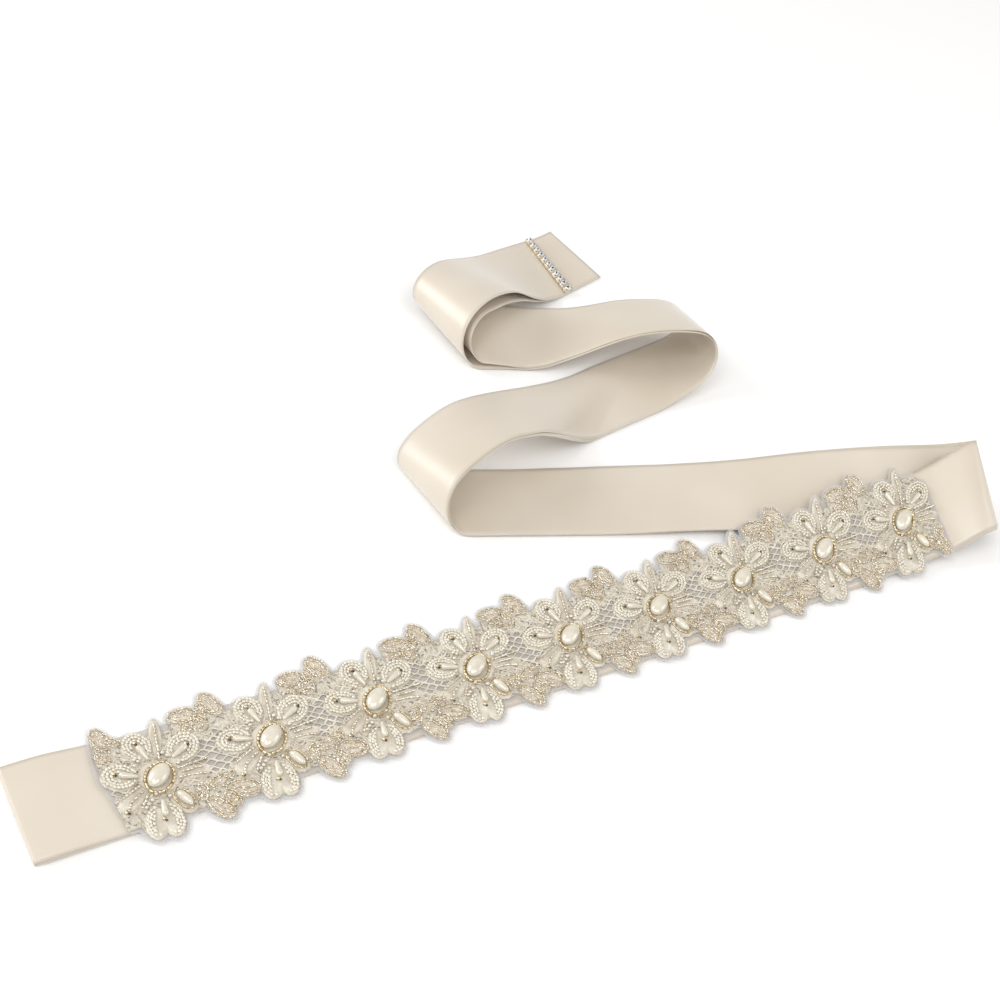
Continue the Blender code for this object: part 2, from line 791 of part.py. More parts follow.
def cup_chain():
    """Row of square cups with low links between them, across the upper layer's end."""
    half = RIBBON_WIDTH / MM / 2
    pitch = 2.0 * half / CHAIN_CUPS
    base = (UPPER_FACE + GAP) / MM
    across = []
    height = []
    for cup in range(CHAIN_CUPS):
        middle = -half + (cup + 0.5) * pitch
        edge = pitch / 2 - CHAIN_LINK / 2
        inner = edge - CHAIN_CUP_SLOPE
        across.extend((middle - edge, middle - inner, middle + inner, middle + edge))
        height.extend((CHAIN_LINK_HEIGHT, CHAIN_CUP_HEIGHT, CHAIN_CUP_HEIGHT, CHAIN_LINK_HEIGHT))
    across = np.array(across)
    height = np.array(height)
    centre = UPPER_END / MM - CHAIN_INSET
    sides = {}
    for name, shift in (("outer", CHAIN_CUP / 2), ("inner", -CHAIN_CUP / 2)):
        places = np.full(len(across), (centre + shift) * MM)
        low = laid_points(places, across * MM, np.full(len(across), base * MM))
        high = laid_points(places, across * MM, (base + height) * MM)
        sides[name] = (low, high)
    wall_between(
        "cup_chain",
        sides["inner"][0],
        sides["outer"][0],
        sides["outer"][1],
        sides["inner"][1],
        CHAIN,
    )


def centre_on_surface():
    """Bring the middle of the whole outline to the origin, lying on the surface."""
    corners = []
    for item in bpy.data.objects:
        corners.extend(tuple(vertex.co) for vertex in item.data.vertices)
    corners = np.array(corners)
    middle = (corners.min(axis=0) + corners.max(axis=0)) / 2
    middle[2] = corners[:, 2].min()
    for item in bpy.data.objects:
        for vertex in item.data.vertices:
            vertex.co = (vertex.co[0] - middle[0], vertex.co[1] - middle[1], vertex.co[2] - middle[2])
        item.data.update()


def main():
    clear_scene()
    ribbon_layer("upper", UPPER_END)
    ribbon_layer("under", UNDER_END)
    left_fold()
    backing()
    flowers()
    sprays()
    pearls()
    cup_chain()
    centre_on_surface()


main()
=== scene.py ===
"""Bridal sash on a pale surface: a satin ribbon in two layers with a beaded lace trim.

Sizes are in millimetres and degrees unless a name says otherwise, and meshes are in metres.
"""

import bpy
import numpy as np
from mathutils import Matrix, Vector


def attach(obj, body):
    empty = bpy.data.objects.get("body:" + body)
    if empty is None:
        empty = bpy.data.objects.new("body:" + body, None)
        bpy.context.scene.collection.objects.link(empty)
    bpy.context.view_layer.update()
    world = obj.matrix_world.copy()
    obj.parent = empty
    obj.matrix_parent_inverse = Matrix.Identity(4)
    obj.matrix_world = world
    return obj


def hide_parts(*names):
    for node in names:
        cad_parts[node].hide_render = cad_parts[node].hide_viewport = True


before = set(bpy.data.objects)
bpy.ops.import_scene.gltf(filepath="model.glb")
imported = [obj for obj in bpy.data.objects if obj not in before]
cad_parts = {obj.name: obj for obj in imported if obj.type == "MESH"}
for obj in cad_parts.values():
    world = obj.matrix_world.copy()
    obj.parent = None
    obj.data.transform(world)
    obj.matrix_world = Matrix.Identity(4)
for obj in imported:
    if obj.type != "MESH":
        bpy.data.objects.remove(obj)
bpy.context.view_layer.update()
MM = 0.001


# ---- Camera, surface and light
# The sash lies on a plain white surface and is seen from above its near side.
# Light comes from low softboxes at both sides that shine along the folds, from two high ones over
# the near side, from one behind the camera that reaches into the curls, and from the room.

EYE = Vector((-0.04674, -0.64116, 0.63100))
LOOK_RIGHT = Vector((0.96939, 0.16977, 0.17737))
LOOK_UP = Vector((-0.24552, 0.67029, 0.70031))
LENS = 60.12

camera_data = bpy.data.cameras.new("camera")
camera_data.lens = LENS
camera_data.sensor_width = 36.0
camera_data.clip_start = 0.01
camera = bpy.data.objects.new("camera", camera_data)
bpy.context.scene.collection.objects.link(camera)
look_back = LOOK_RIGHT.cross(LOOK_UP).normalized()
up = look_back.cross(LOOK_RIGHT).normalized()
turn = Matrix((LOOK_RIGHT.normalized(), up, look_back)).transposed().to_4x4()
camera.matrix_world = Matrix.Translation(EYE) @ turn
bpy.context.scene.camera = camera


def new_material(name, colour, roughness, metallic=0.0):
    """A Principled material with its constants on the shader's own sockets."""
    result = bpy.data.materials.new(name)
    result.use_nodes = True
    shader = result.node_tree.nodes["Principled BSDF"]
    shader.inputs["Base Color"].default_value = (*colour, 1.0)
    shader.inputs["Roughness"].default_value = roughness
    shader.inputs["Metallic"].default_value = metallic
    return result, result.node_tree, shader


def set_sockets(node, values):
    """Default values of a node's inputs by socket name."""
    for socket, value in values.items():
        node.inputs[socket].default_value = value


def bumped(tree, height, strength, distance):
    """A bump node that reads its height from an output."""
    bump = tree.nodes.new("ShaderNodeBump")
    set_sockets(bump, {"Strength": strength, "Distance": distance})
    tree.links.new(height, bump.inputs["Height"])
    return bump


def soft_variation(tree, shader, colour, darker, scale):
    """Slow colour change: a noise pattern of the given scale mixes the colour with a darker one."""
    place = tree.nodes.new("ShaderNodeTexCoord")
    noise = tree.nodes.new("ShaderNodeTexNoise")
    noise.inputs["Scale"].default_value = scale
    ramp = tree.nodes.new("ShaderNodeValToRGB")
    ramp.color_ramp.elements[0].position = 0.35
    ramp.color_ramp.elements[1].position = 0.65
    ramp.color_ramp.elements[0].color = (*darker, 1.0)
    ramp.color_ramp.elements[1].color = (*colour, 1.0)
    tree.links.new(place.outputs["Object"], noise.inputs["Vector"])
    tree.links.new(noise.outputs["Fac"], ramp.inputs["Fac"])
    tree.links.new(ramp.outputs["Color"], shader.inputs["Base Color"])


FLOOR_REACH = 4.0
FLOOR_HEIGHT = -0.0004
floor_corners = [(-1.0, -1.0), (1.0, -1.0), (1.0, 1.0), (-1.0, 1.0)]
floor_mesh = bpy.data.meshes.new("surface")
floor_mesh.from_pydata(
    [(x * FLOOR_REACH, y * FLOOR_REACH, FLOOR_HEIGHT) for x, y in floor_corners], [], [(0, 1, 2, 3)]
)
floor = bpy.data.objects.new("surface", floor_mesh)
bpy.context.scene.collection.objects.link(floor)
white, _, white_shader = new_material("white_surface", (0.93, 0.93, 0.93), 0.9)
white_shader.inputs["Specular IOR Level"].default_value = 0.1
floor_mesh.materials.append(white)


NEUTRAL = (1.0, 0.995, 0.985)
COOL = (0.97, 0.99, 1.0)


def softbox(name, place, size, watts, colour):
    """A square area light at a place, facing the sash's middle."""
    data = bpy.data.lights.new(name, "AREA")
    data.shape = "SQUARE"
    data.size = size
    data.energy = watts
    data.color = colour
    lamp = bpy.data.objects.new(name, data)
    facing = (-Vector(place)).to_track_quat("-Z", "Y").to_matrix().to_4x4()
    lamp.matrix_world = Matrix.Translation(place) @ facing
    bpy.context.scene.collection.objects.link(lamp)


softbox("softbox_left", (-1.6, 0.15, 0.8), 0.9, 13.0, COOL)
softbox("softbox_right", (1.5, 0.35, 0.8), 0.9, 5.0, NEUTRAL)
softbox("softbox_high_left", (-0.8, -1.0, 2.0), 1.0, 11.0, NEUTRAL)
softbox("softbox_high_right", (0.7, -1.0, 2.0), 1.0, 9.5, NEUTRAL)
softbox("softbox_camera", (-0.15, -1.35, 1.3), 1.0, 5.0, NEUTRAL)

room = bpy.data.worlds.new("room")
room.use_nodes = True
set_sockets(room.node_tree.nodes["Background"], {"Color": (1.0, 0.985, 0.965, 1.0), "Strength": 0.64})
bpy.context.scene.world = room
bpy.context.scene.view_settings.view_transform = "Standard"


# ---- Satin ribbon
# One length of double-faced satin, 50 mm wide with woven selvages, folded back on itself at the
# left end, so that two layers run on together through the loops. Both lie loose on the surface.

WIDTH = 50.0
RIBBON_THICKNESS = 0.4
STEP = 4.0
SOLID_WALL = 1.0
SOLID_GAP = 0.3
LAYER_HEIGHT = 0.38
UPPER_START = 3.8
UPPER_END = 1464.0
UNDER_END = 1488.0
WALK_LENGTH = 1500.0
FLOOR_LIFT = 2.0
START_HEADING = 38.9
START_HEIGHT = 8.5
START_PITCH = 0.5
START_BANK = 4.4
WALK_START = (-216.743, -252.163)
EDGE_BLEND = 0.25

BENDS = np.array((
    # at, length, turn towards the upper face
    (26, 67, -11.0),
    (64, 90, 10.5),
    (406, 122, 5.5),
    (543, 60, 84.0),
    (570, 85, -268.0),
    (601, 81, 14.5),
    (913, 72, -156.5),
    (965, 67, -31.0),
    (1084, 60, 17.0),
    (1120, 69, 13.5),
    (1162, 60, 156.0),
    (1208, 63, 18.0),
    (1265, 79, -26.5),
    (1302, 60, 39.0),
    (1334, 95, -203.5),
    (1377, 63, -26.5),
    (1418, 60, 10.0),
    (1460, 60, 17.5),
))
LEANS = np.array((
    # at, lean of the roll line
    (440, 0.0), (520, -0.13), (560, 0.44), (580, 0.05), (600, 0.35), (660, 0.0), (840, 0.0),
    (880, 0.74), (925, 0.17), (970, 0.14), (1030, 1.22), (1085, 1.62), (1130, 0.81),
    (1165, 0.17), (1205, 0.29), (1260, 0.04), (1310, 0.78), (1345, 0.26), (1385, 0.02),
    (1440, 0.37), (1500, 0.0),
))
TWISTS = np.array((
    # at, length, twist
    (60, 100, -4.0),
    (430, 160, 13.0),
    (690, 160, 30.0),
    (1060, 120, 40.0),
    (1260, 100, -29.0),
    (1420, 80, 20.0),
))
LAYER_ROOM = np.array((
    # at, room between the layers
    (0, 3.2), (35, 1.6), (80, 0.0), (1290, 0.0), (1325, 3.5), (1350, 6.5), (1375, 8.0),
    (1395, 5.5), (1415, 2.0), (1435, 0.5), (1455, 0.0),
))
UPPER_SETTLES = np.array((
    # at, how much lower than its wall the soft upper layer lies
    (0, 1.5), (35, 1.0), (75, 0.3), (520, 0.2), (620, 0.0),
))
FAR_EDGE_SETTLES = np.array((
    # at, drop
    (20, 0.0), (70, 1.4), (300, 1.4), (420, 0.0),
))
UNDER_SLIP = np.array((
    # at, slip towards the far edge
    (0, -0.3), (500, -0.5), (570, -1.5), (700, -0.5), (920, 0.0), (1040, -2.2), (1110, 0.0),
    (1180, 1.2), (1240, 1.2), (1300, 0.6), (1350, 0.0),
))


def column(table, places):
    """A table's second column read at places along its first, in straight lines."""
    return np.interp(places, table[:, 0], table[:, 1])


def swell(places, middle, length):
    """Raised cosine over a stretch, with an area of one."""
    share = (places - middle) / length
    return np.where(np.abs(share) < 0.5, (1.0 + np.cos(2.0 * np.pi * share)) / length, 0.0)


def turned(vector, axis, angle):
    """A vector turned about a unit axis."""
    along = axis * np.dot(axis, vector) * (1.0 - np.cos(angle))
    return vector * np.cos(angle) + np.cross(axis, vector) * np.sin(angle) + along


def walk():
    """The ribbon's middle line: each step turns by the bend about the roll line and by the twist."""
    places = np.arange(0.0, WALK_LENGTH + STEP, STEP)
    middles = places[:-1] + STEP / 2
    bend = sum(swell(middles, at, length) * np.radians(angle) for at, length, angle in BENDS)
    twist = sum(swell(middles, at, length) * np.radians(angle) for at, length, angle in TWISTS)
    heading, pitch, bank = np.radians((START_HEADING, START_PITCH, START_BANK))
    run = np.array((np.cos(heading) * np.cos(pitch), np.sin(heading) * np.cos(pitch), np.sin(pitch)))
    level = np.array((-np.sin(heading), np.cos(heading), 0.0))
    across = level * np.cos(bank) + np.cross(run, level) * np.sin(bank)
    centre = np.array((*WALK_START, START_HEIGHT))
    rows = [(centre, run, across)]
    for bending, twisting, lean in zip(bend, twist, column(LEANS, middles)):
        spin = ((twisting - bending * lean) * run - bending * across) * STEP
        angle = np.linalg.norm(spin)
        axis = spin / angle if angle > 1e-9 else across
        centre = centre + turned(run, axis, angle / 2) * STEP
        run = turned(run, axis, angle)
        across = turned(across, axis, angle)
        rows.append((centre, run, across))
    return [np.array(part) for part in zip(*rows)]


CENTRES, RUNS, ACROSSES = walk()
NORMALS = np.cross(RUNS, ACROSSES)


def between(rows, places):
    """Rows read between the steps, on a smooth curve through the four nearest rows."""
    step = np.clip(places / STEP, 0.0, len(rows) - 1.001)
    index = step.astype(int)
    share = (step - index)[:, None]
    last = len(rows) - 1
    before, first, second, after = (rows[np.clip(index + shift, 0, last)] for shift in (-1, 0, 1, 2))
    cubic = 3.0 * (first - second) + after - before
    square = 2.0 * before - 5.0 * first + 4.0 * second - after
    return first + 0.5 * share * (second - before + share * (square + share * cubic))


def strip(places, across, height):
    """Points of the walked strip: out along the roll line from the middle line, and up the normal."""
    side = between(ACROSSES, places) + column(LEANS, places)[:, None] * between(RUNS, places)
    rise = height[:, None] * between(NORMALS, places)
    return between(CENTRES, places) + across[:, None] * side + rise


def edge_lift(places, side):
    """An edge goes down by the floor lift, or rests where its lowest wall meets the surface."""
    half = np.full(len(places), side * WIDTH / 2)
    outer = strip(places, half, np.full(len(places), SOLID_GAP / 2 + SOLID_WALL))
    depth = SOLID_GAP / 2 + SOLID_WALL + column(LAYER_ROOM, places)
    inner = strip(places, half + column(UNDER_SLIP, places), -depth)
    drop = FLOOR_LIFT + (column(FAR_EDGE_SETTLES, places) if side > 0 else 0.0)
    rest = -np.minimum(outer[:, 2], inner[:, 2])
    return -drop + EDGE_BLEND * np.logaddexp(0.0, (rest + drop) / EDGE_BLEND)


def lift(places, across):
    """The move up or down of a point, read straight across between the two edges."""
    near = edge_lift(places, -1)
    return near + (edge_lift(places, 1) - near) * (across / WIDTH + 0.5)


def laid(places, across, height):
    """Points on the strip as it lies, in metres."""
    points = strip(places, across, height)
    points[:, 2] += lift(places, across)
    return points * MM


def slack(places, across):
    """Gentle unevenness of the cloth: three slow waves along and across it."""
    slow = np.sin(places / 13.0 + across / 21.0) + np.sin(places / 7.9 - across / 17.0 + 1.3)
    return 0.07 * slow + 0.04 * np.sin(places / 4.3 + across / 9.0)


def upper_layer(places, across):
    """The upper layer's middle surface, a little nearer to the under layer where it settles."""
    height = LAYER_HEIGHT + slack(places, across) - column(UPPER_SETTLES, places)
    return laid(places, across, height)


def under_layer(places, across):
    """The under layer's middle surface, slipped sideways and lower by its room."""
    depth = LAYER_HEIGHT + column(LAYER_ROOM, places)
    points = strip(places, across + column(UNDER_SLIP, places), slack(places + 40.0, across) - depth)
    points[:, 2] += lift(places, across)
    return points * MM


def sheet_quads(rows, columns, close_columns=False):
    """Faces of a grid of points held row by row, closed round where asked."""
    index = np.arange(rows * columns).reshape(rows, columns)
    if close_columns:
        index = np.concatenate([index, index[:, :1]], axis=1)
    corners = (index[:-1, :-1], index[1:, :-1], index[1:, 1:], index[:-1, 1:])
    return np.stack([part.ravel() for part in corners], axis=1)


def put_piece(name, points, faces, look, layout=None, smooth=True):
    """Mesh from arrays: points in metres, faces as arrays of corners, a flat layout as its UV map."""
    mesh = bpy.data.meshes.new(name)
    faces = [faces] if isinstance(faces, np.ndarray) else faces
    corners = np.concatenate([part.ravel() for part in faces]).astype(np.int32)
    counts = np.concatenate([np.full(len(part), part.shape[1]) for part in faces])
    mesh.vertices.add(len(points))
    mesh.vertices.foreach_set("co", np.asarray(points, np.float32).ravel())
    mesh.loops.add(len(corners))
    mesh.loops.foreach_set("vertex_index", corners)
    mesh.polygons.add(len(counts))
    mesh.polygons.foreach_set("loop_start", (np.cumsum(counts) - counts).astype(np.int32))
    mesh.update(calc_edges=True)
    if layout is not None:
        map_layer = mesh.uv_layers.new(name="UVMap")
        map_layer.data.foreach_set("uv", np.asarray(layout, np.float32)[corners].ravel())
    if smooth:
        mesh.shade_smooth()
    mesh.materials.append(look)
    piece = bpy.data.objects.new(name, mesh)
    bpy.context.scene.collection.objects.link(piece)
    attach(piece, "root")
    return piece


SATIN_IVORY = (0.655, 0.590, 0.500)
SATIN_SHADE = (0.61, 0.535, 0.435)
SELVAGE_INSET = 0.9
SELVAGE_HALF_WIDTH = 0.35


def satin_look():
    """Satin: fine ribs along the run, and a row of selvage stitches just inside each edge."""
    look, tree, shader = new_material("ivory_satin", SATIN_IVORY, 0.36)
    soft_variation(tree, shader, SATIN_IVORY, SATIN_SHADE, 14.0)
    set_sockets(shader, {
        "Anisotropic": 0.55, "Coat Weight": 0.6, "Coat Roughness": 0.4, "Coat IOR": 1.7,
        "Sheen Weight": 0.25, "Sheen Roughness": 0.4, "Specular IOR Level": 0.55,
    })
    tangent = tree.nodes.new("ShaderNodeTangent")
    tangent.direction_type = "UV_MAP"
    tangent.uv_map = "UVMap"
    tree.links.new(tangent.outputs["Tangent"], shader.inputs["Tangent"])
    place = tree.nodes.new("ShaderNodeUVMap")
    place.uv_map = "UVMap"
    split = tree.nodes.new("ShaderNodeSeparateXYZ")
    tree.links.new(place.outputs["UV"], split.inputs["Vector"])
    ribs = tree.nodes.new("ShaderNodeTexWave")
    ribs.bands_direction = "Y"
    set_sockets(ribs, {"Scale": 900.0, "Distortion": 0.6})
    tree.links.new(place.outputs["UV"], ribs.inputs["Vector"])
    stitches = tree.nodes.new("ShaderNodeTexWave")
    stitches.bands_direction = "X"
    stitches.inputs["Scale"].default_value = 520.0
    tree.links.new(place.outputs["UV"], stitches.inputs["Vector"])
    edge = tree.nodes.new("ShaderNodeMath")
    edge.operation = "ABSOLUTE"
    tree.links.new(split.outputs["Y"], edge.inputs[0])
    row = tree.nodes.new("ShaderNodeMath")
    row.operation = "COMPARE"
    row.inputs[1].default_value = (WIDTH / 2 - SELVAGE_INSET) * MM
    row.inputs[2].default_value = SELVAGE_HALF_WIDTH * MM
    tree.links.new(edge.outputs["Value"], row.inputs[0])
    dots = tree.nodes.new("ShaderNodeMath")
    dots.operation = "MULTIPLY"
    tree.links.new(row.outputs["Value"], dots.inputs[0])
    tree.links.new(stitches.outputs["Fac"], dots.inputs[1])
    bump_ribs = bumped(tree, ribs.outputs["Fac"], 0.08, 0.0001)
    bump_dots = bumped(tree, dots.outputs["Value"], 0.4, 0.0003)
    tree.links.new(bump_ribs.outputs["Normal"], bump_dots.inputs["Normal"])
    tree.links.new(bump_dots.outputs["Normal"], shader.inputs["Normal"])
    return look


UNDER_ROWS = 744
UPPER_ROWS = 732
RIBBON_COLUMNS = 17
FOLD_STEPS = 12


def ribbon_rows():
    """The ribbon row by row: the under layer inwards, round the fold, the upper layer outwards."""
    across = np.linspace(-WIDTH / 2, WIDTH / 2, RIBBON_COLUMNS)
    under_places = np.linspace(UNDER_END, UPPER_START, UNDER_ROWS)
    upper_places = np.linspace(UPPER_START, UPPER_END, UPPER_ROWS)
    grid = [np.repeat(places, len(across)) for places in (under_places, upper_places)]
    under = under_layer(grid[0], np.tile(across, len(under_places))).reshape(-1, len(across), 3)
    upper = upper_layer(grid[1], np.tile(across, len(upper_places))).reshape(-1, len(across), 3)
    middle = (under[-1] + upper[0]) / 2
    arm = (upper[0] - under[-1]) / 2
    reach = np.linalg.norm(arm, axis=1, keepdims=True)
    back = -between(RUNS, np.full(len(across), UPPER_START))
    angles = np.linspace(np.pi, 0.0, FOLD_STEPS)[1:-1, None, None]
    fold = middle + arm * np.cos(angles) + back * reach * np.sin(angles)
    return np.concatenate([under, fold, upper]), across


rows, ribbon_across = ribbon_rows()
middle_rows = rows[:, len(ribbon_across) // 2]
middle_steps = np.linalg.norm(np.diff(middle_rows, axis=0), axis=1)
ribbon_along = np.concatenate([[0.0], np.cumsum(middle_steps)])
ribbon_layout = np.stack(np.broadcast_arrays(ribbon_along[:, None], ribbon_across[None] * MM), axis=-1)
ribbon = put_piece(
    "satin_ribbon",
    rows.reshape(-1, 3),
    sheet_quads(len(rows), len(ribbon_across)),
    satin_look(),
    ribbon_layout.reshape(-1, 2),
)
thickness = ribbon.modifiers.new("Thickness", "SOLIDIFY")
thickness.thickness = RIBBON_THICKNESS * MM
thickness.offset = 0.0
ribbon_nodes = [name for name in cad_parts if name.startswith("ribbon_")]
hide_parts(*ribbon_nodes)


# ---- Sheer backing of the trim
# A strip of organza under the lace, cut about 2 mm outside the motifs. It stands out past the
# ribbon's edges as a grey film, and shows through the holes of the lace.

FLOWERS = 9
FIRST_FLOWER = 66.6
PITCH = 55.2
TRIM_LINE = np.array((
    # along, across, pull for each unit across
    (0.0, -2.4, 0.0),
    (55.0, -1.2, 0.0),
    (110.0, 0.8, 0.03),
    (220.0, 1.5, 0.08),
    (330.0, 2.2, 0.13),
    (385.0, 2.2, 0.16),
    (440.0, 1.5, 0.18),
))
BACKING_HEIGHT = 1.0
BACKING_MARGIN = 1.9
BAND_HALF_WIDTH = 24.0
BAND_START = -23.0
BAND_END = (FLOWERS - 1) * PITCH + 20.0
OUT_OF_REACH = 99.0


def on_trim(along, across, height):
    """Flat trim measures laid on the ribbon: each point finds the roll line that passes through it."""
    across = across + np.interp(along, TRIM_LINE[:, 0], TRIM_LINE[:, 1])
    run = along + FIRST_FLOWER + across * np.interp(along, TRIM_LINE[:, 0], TRIM_LINE[:, 2])
    places = run.copy()
    for _ in range(24):
        places = run - across * column(LEANS, places)
    return laid(places, across, height + slack(places, across) * 0.5)


PETALS = np.array((
    # along and across of the petal's middle, angle, half length, half width, height
    (-3.8, 18.3, 101.0, 8.2, 6.9, 1.6),
    (15.6, 10.6, 36.0, 9.2, 7.4, 1.6),
    (-16.8, 4.9, 164.0, 8.6, 7.0, 1.6),
    (-9.4, -22.6, 250.0, 8.6, 5.5, 1.6),
    (-2.6, -23.6, 266.0, 8.6, 5.4, 1.5),
    (5.9, -16.0, 291.0, 7.2, 5.0, 1.4),
    (6.3, 20.5, 73.0, 10.5, 3.0, 1.3),
    (-14.8, -7.5, 208.0, 9.0, 4.6, 1.1),
    (15.2, -3.0, 352.0, 9.0, 3.6, 1.2),
))
UPPER_SPRAY = np.array((
    # along and across of the leaf's middle, angle, half length, half width
    (22.0, 27.3, 172.0, 7.2, 4.6),
    (36.3, 28.8, 108.0, 7.8, 4.6),
    (30.5, 26.0, 60.0, 5.5, 3.4),
    (27.5, 20.5, 265.0, 5.5, 4.2),
    (21.0, 20.5, 215.0, 4.5, 3.0),
))
LOWER_SPRAY = np.array((
    # along and across of the leaf's middle, angle, half length, half width
    (19.8, -25.2, 297.0, 8.2, 4.5),
    (32.8, -20.0, 338.0, 8.2, 5.0),
    (25.0, -12.5, 15.0, 8.0, 3.5),
    (15.0, -15.0, 250.0, 5.0, 3.0),
    (26.5, -23.0, 285.0, 5.0, 3.6),
))
LEFT_SPRAY = np.array((
    # along and across of the leaf's middle, angle, half length, half width
    (-18.2, 27.0, 95.0, 6.6, 4.4),
    (-20.0, 18.5, 250.0, 5.0, 4.0),
    (-13.0, 24.5, 150.0, 4.0, 2.8),
))
RIGHT_SPRAY = np.array((
    # along and across of the leaf's middle, angle, half length, half width
    (18.8, -22.4, 283.0, 6.5, 3.8),
    (19.0, -13.8, 60.0, 4.8, 3.5),
    (13.0, -19.0, 300.0, 5.0, 3.0),
))


def petal_ellipses():
    """All petals and leaves in rows of middle along and across, angle in radians and half sizes."""
    in_radians = np.array((1.0, 1.0, np.pi / 180.0, 1.0, 1.0))
    shift = np.array((PITCH, 0.0, 0.0, 0.0, 0.0))
    flowers = [PETALS[:, :5] * in_radians + shift * number for number in range(FLOWERS)]
    uppers = [UPPER_SPRAY * in_radians + shift * number for number in range(FLOWERS - 1)]
    lowers = [LOWER_SPRAY * in_radians + shift * number for number in range(FLOWERS - 1)]
    ends = [LEFT_SPRAY * in_radians, RIGHT_SPRAY * in_radians + shift * (FLOWERS - 1)]
    return flowers, uppers, lowers, ends


FLOWER_ELLIPSES, UPPER_ELLIPSES, LOWER_ELLIPSES, END_ELLIPSES = petal_ellipses()


def trim_outline(along, margin):
    """Near and far edge at each place along: the reach of the grown ellipses or of a plain band."""
    shapes = np.concatenate([*FLOWER_ELLIPSES, *UPPER_ELLIPSES, *LOWER_ELLIPSES, *END_ELLIPSES])
    centre_along, centre_across, angle, half_length, half_width = shapes.T[:, None, :]
    half_length = half_length + margin
    half_width = half_width + margin
    cos = np.cos(angle)
    sin = np.sin(angle)
    square = (cos / half_length) ** 2 + (sin / half_width) ** 2
    mixed = cos * sin * (half_length ** -2 - half_width ** -2)
    upright = (sin / half_length) ** 2 + (cos / half_width) ** 2
    offset = along[:, None] - centre_along
    inside = upright - (square * upright - mixed ** 2) * offset ** 2
    root = np.sqrt(np.maximum(inside, 0.0))
    far = centre_across + (root - mixed * offset) / upright
    near = centre_across - (root + mixed * offset) / upright
    far = np.where(inside > 0.0, far, -OUT_OF_REACH).max(axis=1)
    near = np.where(inside > 0.0, near, OUT_OF_REACH).min(axis=1)
    band = (along > BAND_START) & (along < BAND_END)
    far = np.where(band, np.maximum(far, BAND_HALF_WIDTH + margin - BACKING_MARGIN), far)
    near = np.where(band, np.minimum(near, -BAND_HALF_WIDTH - margin + BACKING_MARGIN), near)
    return near, far


def smoothed(values, reach):
    """Each value averaged with its neighbours by a short cosine window."""
    window = np.hanning(2 * reach + 3)[1:-1]
    padded = np.pad(values, reach, mode="edge")
    return np.convolve(padded, window / window.sum(), mode="valid")


def organza_look():
    """Sheer grey-white cloth: half see-through, with a fine even weave."""
    look, tree, shader = new_material("organza", (0.60, 0.585, 0.58), 0.55)
    set_sockets(shader, {"Alpha": 0.52, "Sheen Weight": 0.3})
    place = tree.nodes.new("ShaderNodeUVMap")
    place.uv_map = "UVMap"
    weave = tree.nodes.new("ShaderNodeTexChecker")
    set_sockets(weave, {
        "Scale": 5000.0, "Color1": (0.62, 0.605, 0.60, 1.0), "Color2": (0.57, 0.555, 0.55, 1.0),
    })
    tree.links.new(place.outputs["UV"], weave.inputs["Vector"])
    tree.links.new(weave.outputs["Color"], shader.inputs["Base Color"])
    return look


trim_along = np.arange(-27.5, (FLOWERS - 1) * PITCH + 24.5, 0.5)
backing_near, backing_far = trim_outline(trim_along, BACKING_MARGIN)
known = backing_far > backing_near
trim_along = trim_along[known]
backing_near = smoothed(backing_near[known], 2)
backing_far = smoothed(backing_far[known], 2)
backing_share = np.linspace(0.0, 1.0, 25)
backing_across = backing_near[:, None] + (backing_far - backing_near)[:, None] * backing_share
backing_flat = np.stack(np.broadcast_arrays(trim_along[:, None], backing_across), axis=-1)
backing_flat = backing_flat.reshape(-1, 2)
backing = put_piece(
    "organza_backing",
    on_trim(backing_flat[:, 0], backing_flat[:, 1], np.full(len(backing_flat), BACKING_HEIGHT)),
    sheet_quads(len(trim_along), len(backing_share)),
    organza_look(),
    backing_flat * MM,
)
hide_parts("trim_backing")


# ---- Corded net and its ground
# The lace ground between the motifs: closed embroidery along both edges, and in the middle an
# open net of cotton cords that meet and part, leaving almond-shaped holes. It is one piece with
# the flowers and is sewn to the backing.

CORD_ROWS = 13
CORD_PITCH = 2.05
HOLE_LENGTH = 6.4
CORD_WIDTH = 0.45
CORD_HEIGHT = 1.5
NET_MIDDLE = 3.0
NET_HALF_WIDTH = 8.5
NET_HALF_LENGTH = 15.0
GROUND_HEIGHT = 1.3
GROUND_STEP = 0.8
GROUND_COLUMNS = 72
TUBE_SIDES = 5
TUBE_HALF_HEIGHT = 0.3


def open_share(along, across):
    """Openness of the lace: one in the middle between two flowers and in small holes, else none."""
    repeat = np.mod(along, PITCH) - PITCH / 2
    uneven = 1.6 * np.sin(along / 2.7 + across / 3.1) + 1.0 * np.sin(along / 1.3 - across / 1.9)
    side = (across - NET_MIDDLE + uneven) / NET_HALF_WIDTH
    opening = np.exp(-side ** 4 - ((repeat - 1.0 + uneven) / NET_HALF_LENGTH) ** 4)
    first = np.sin(1.9 * along + 0.8 * across + 1.3 * np.sin(across / 2.1))
    second = np.sin(1.3 * across - 0.6 * along + 1.1 * np.sin(along / 1.7))
    return np.where(first * second > 0.62, 1.0, opening)


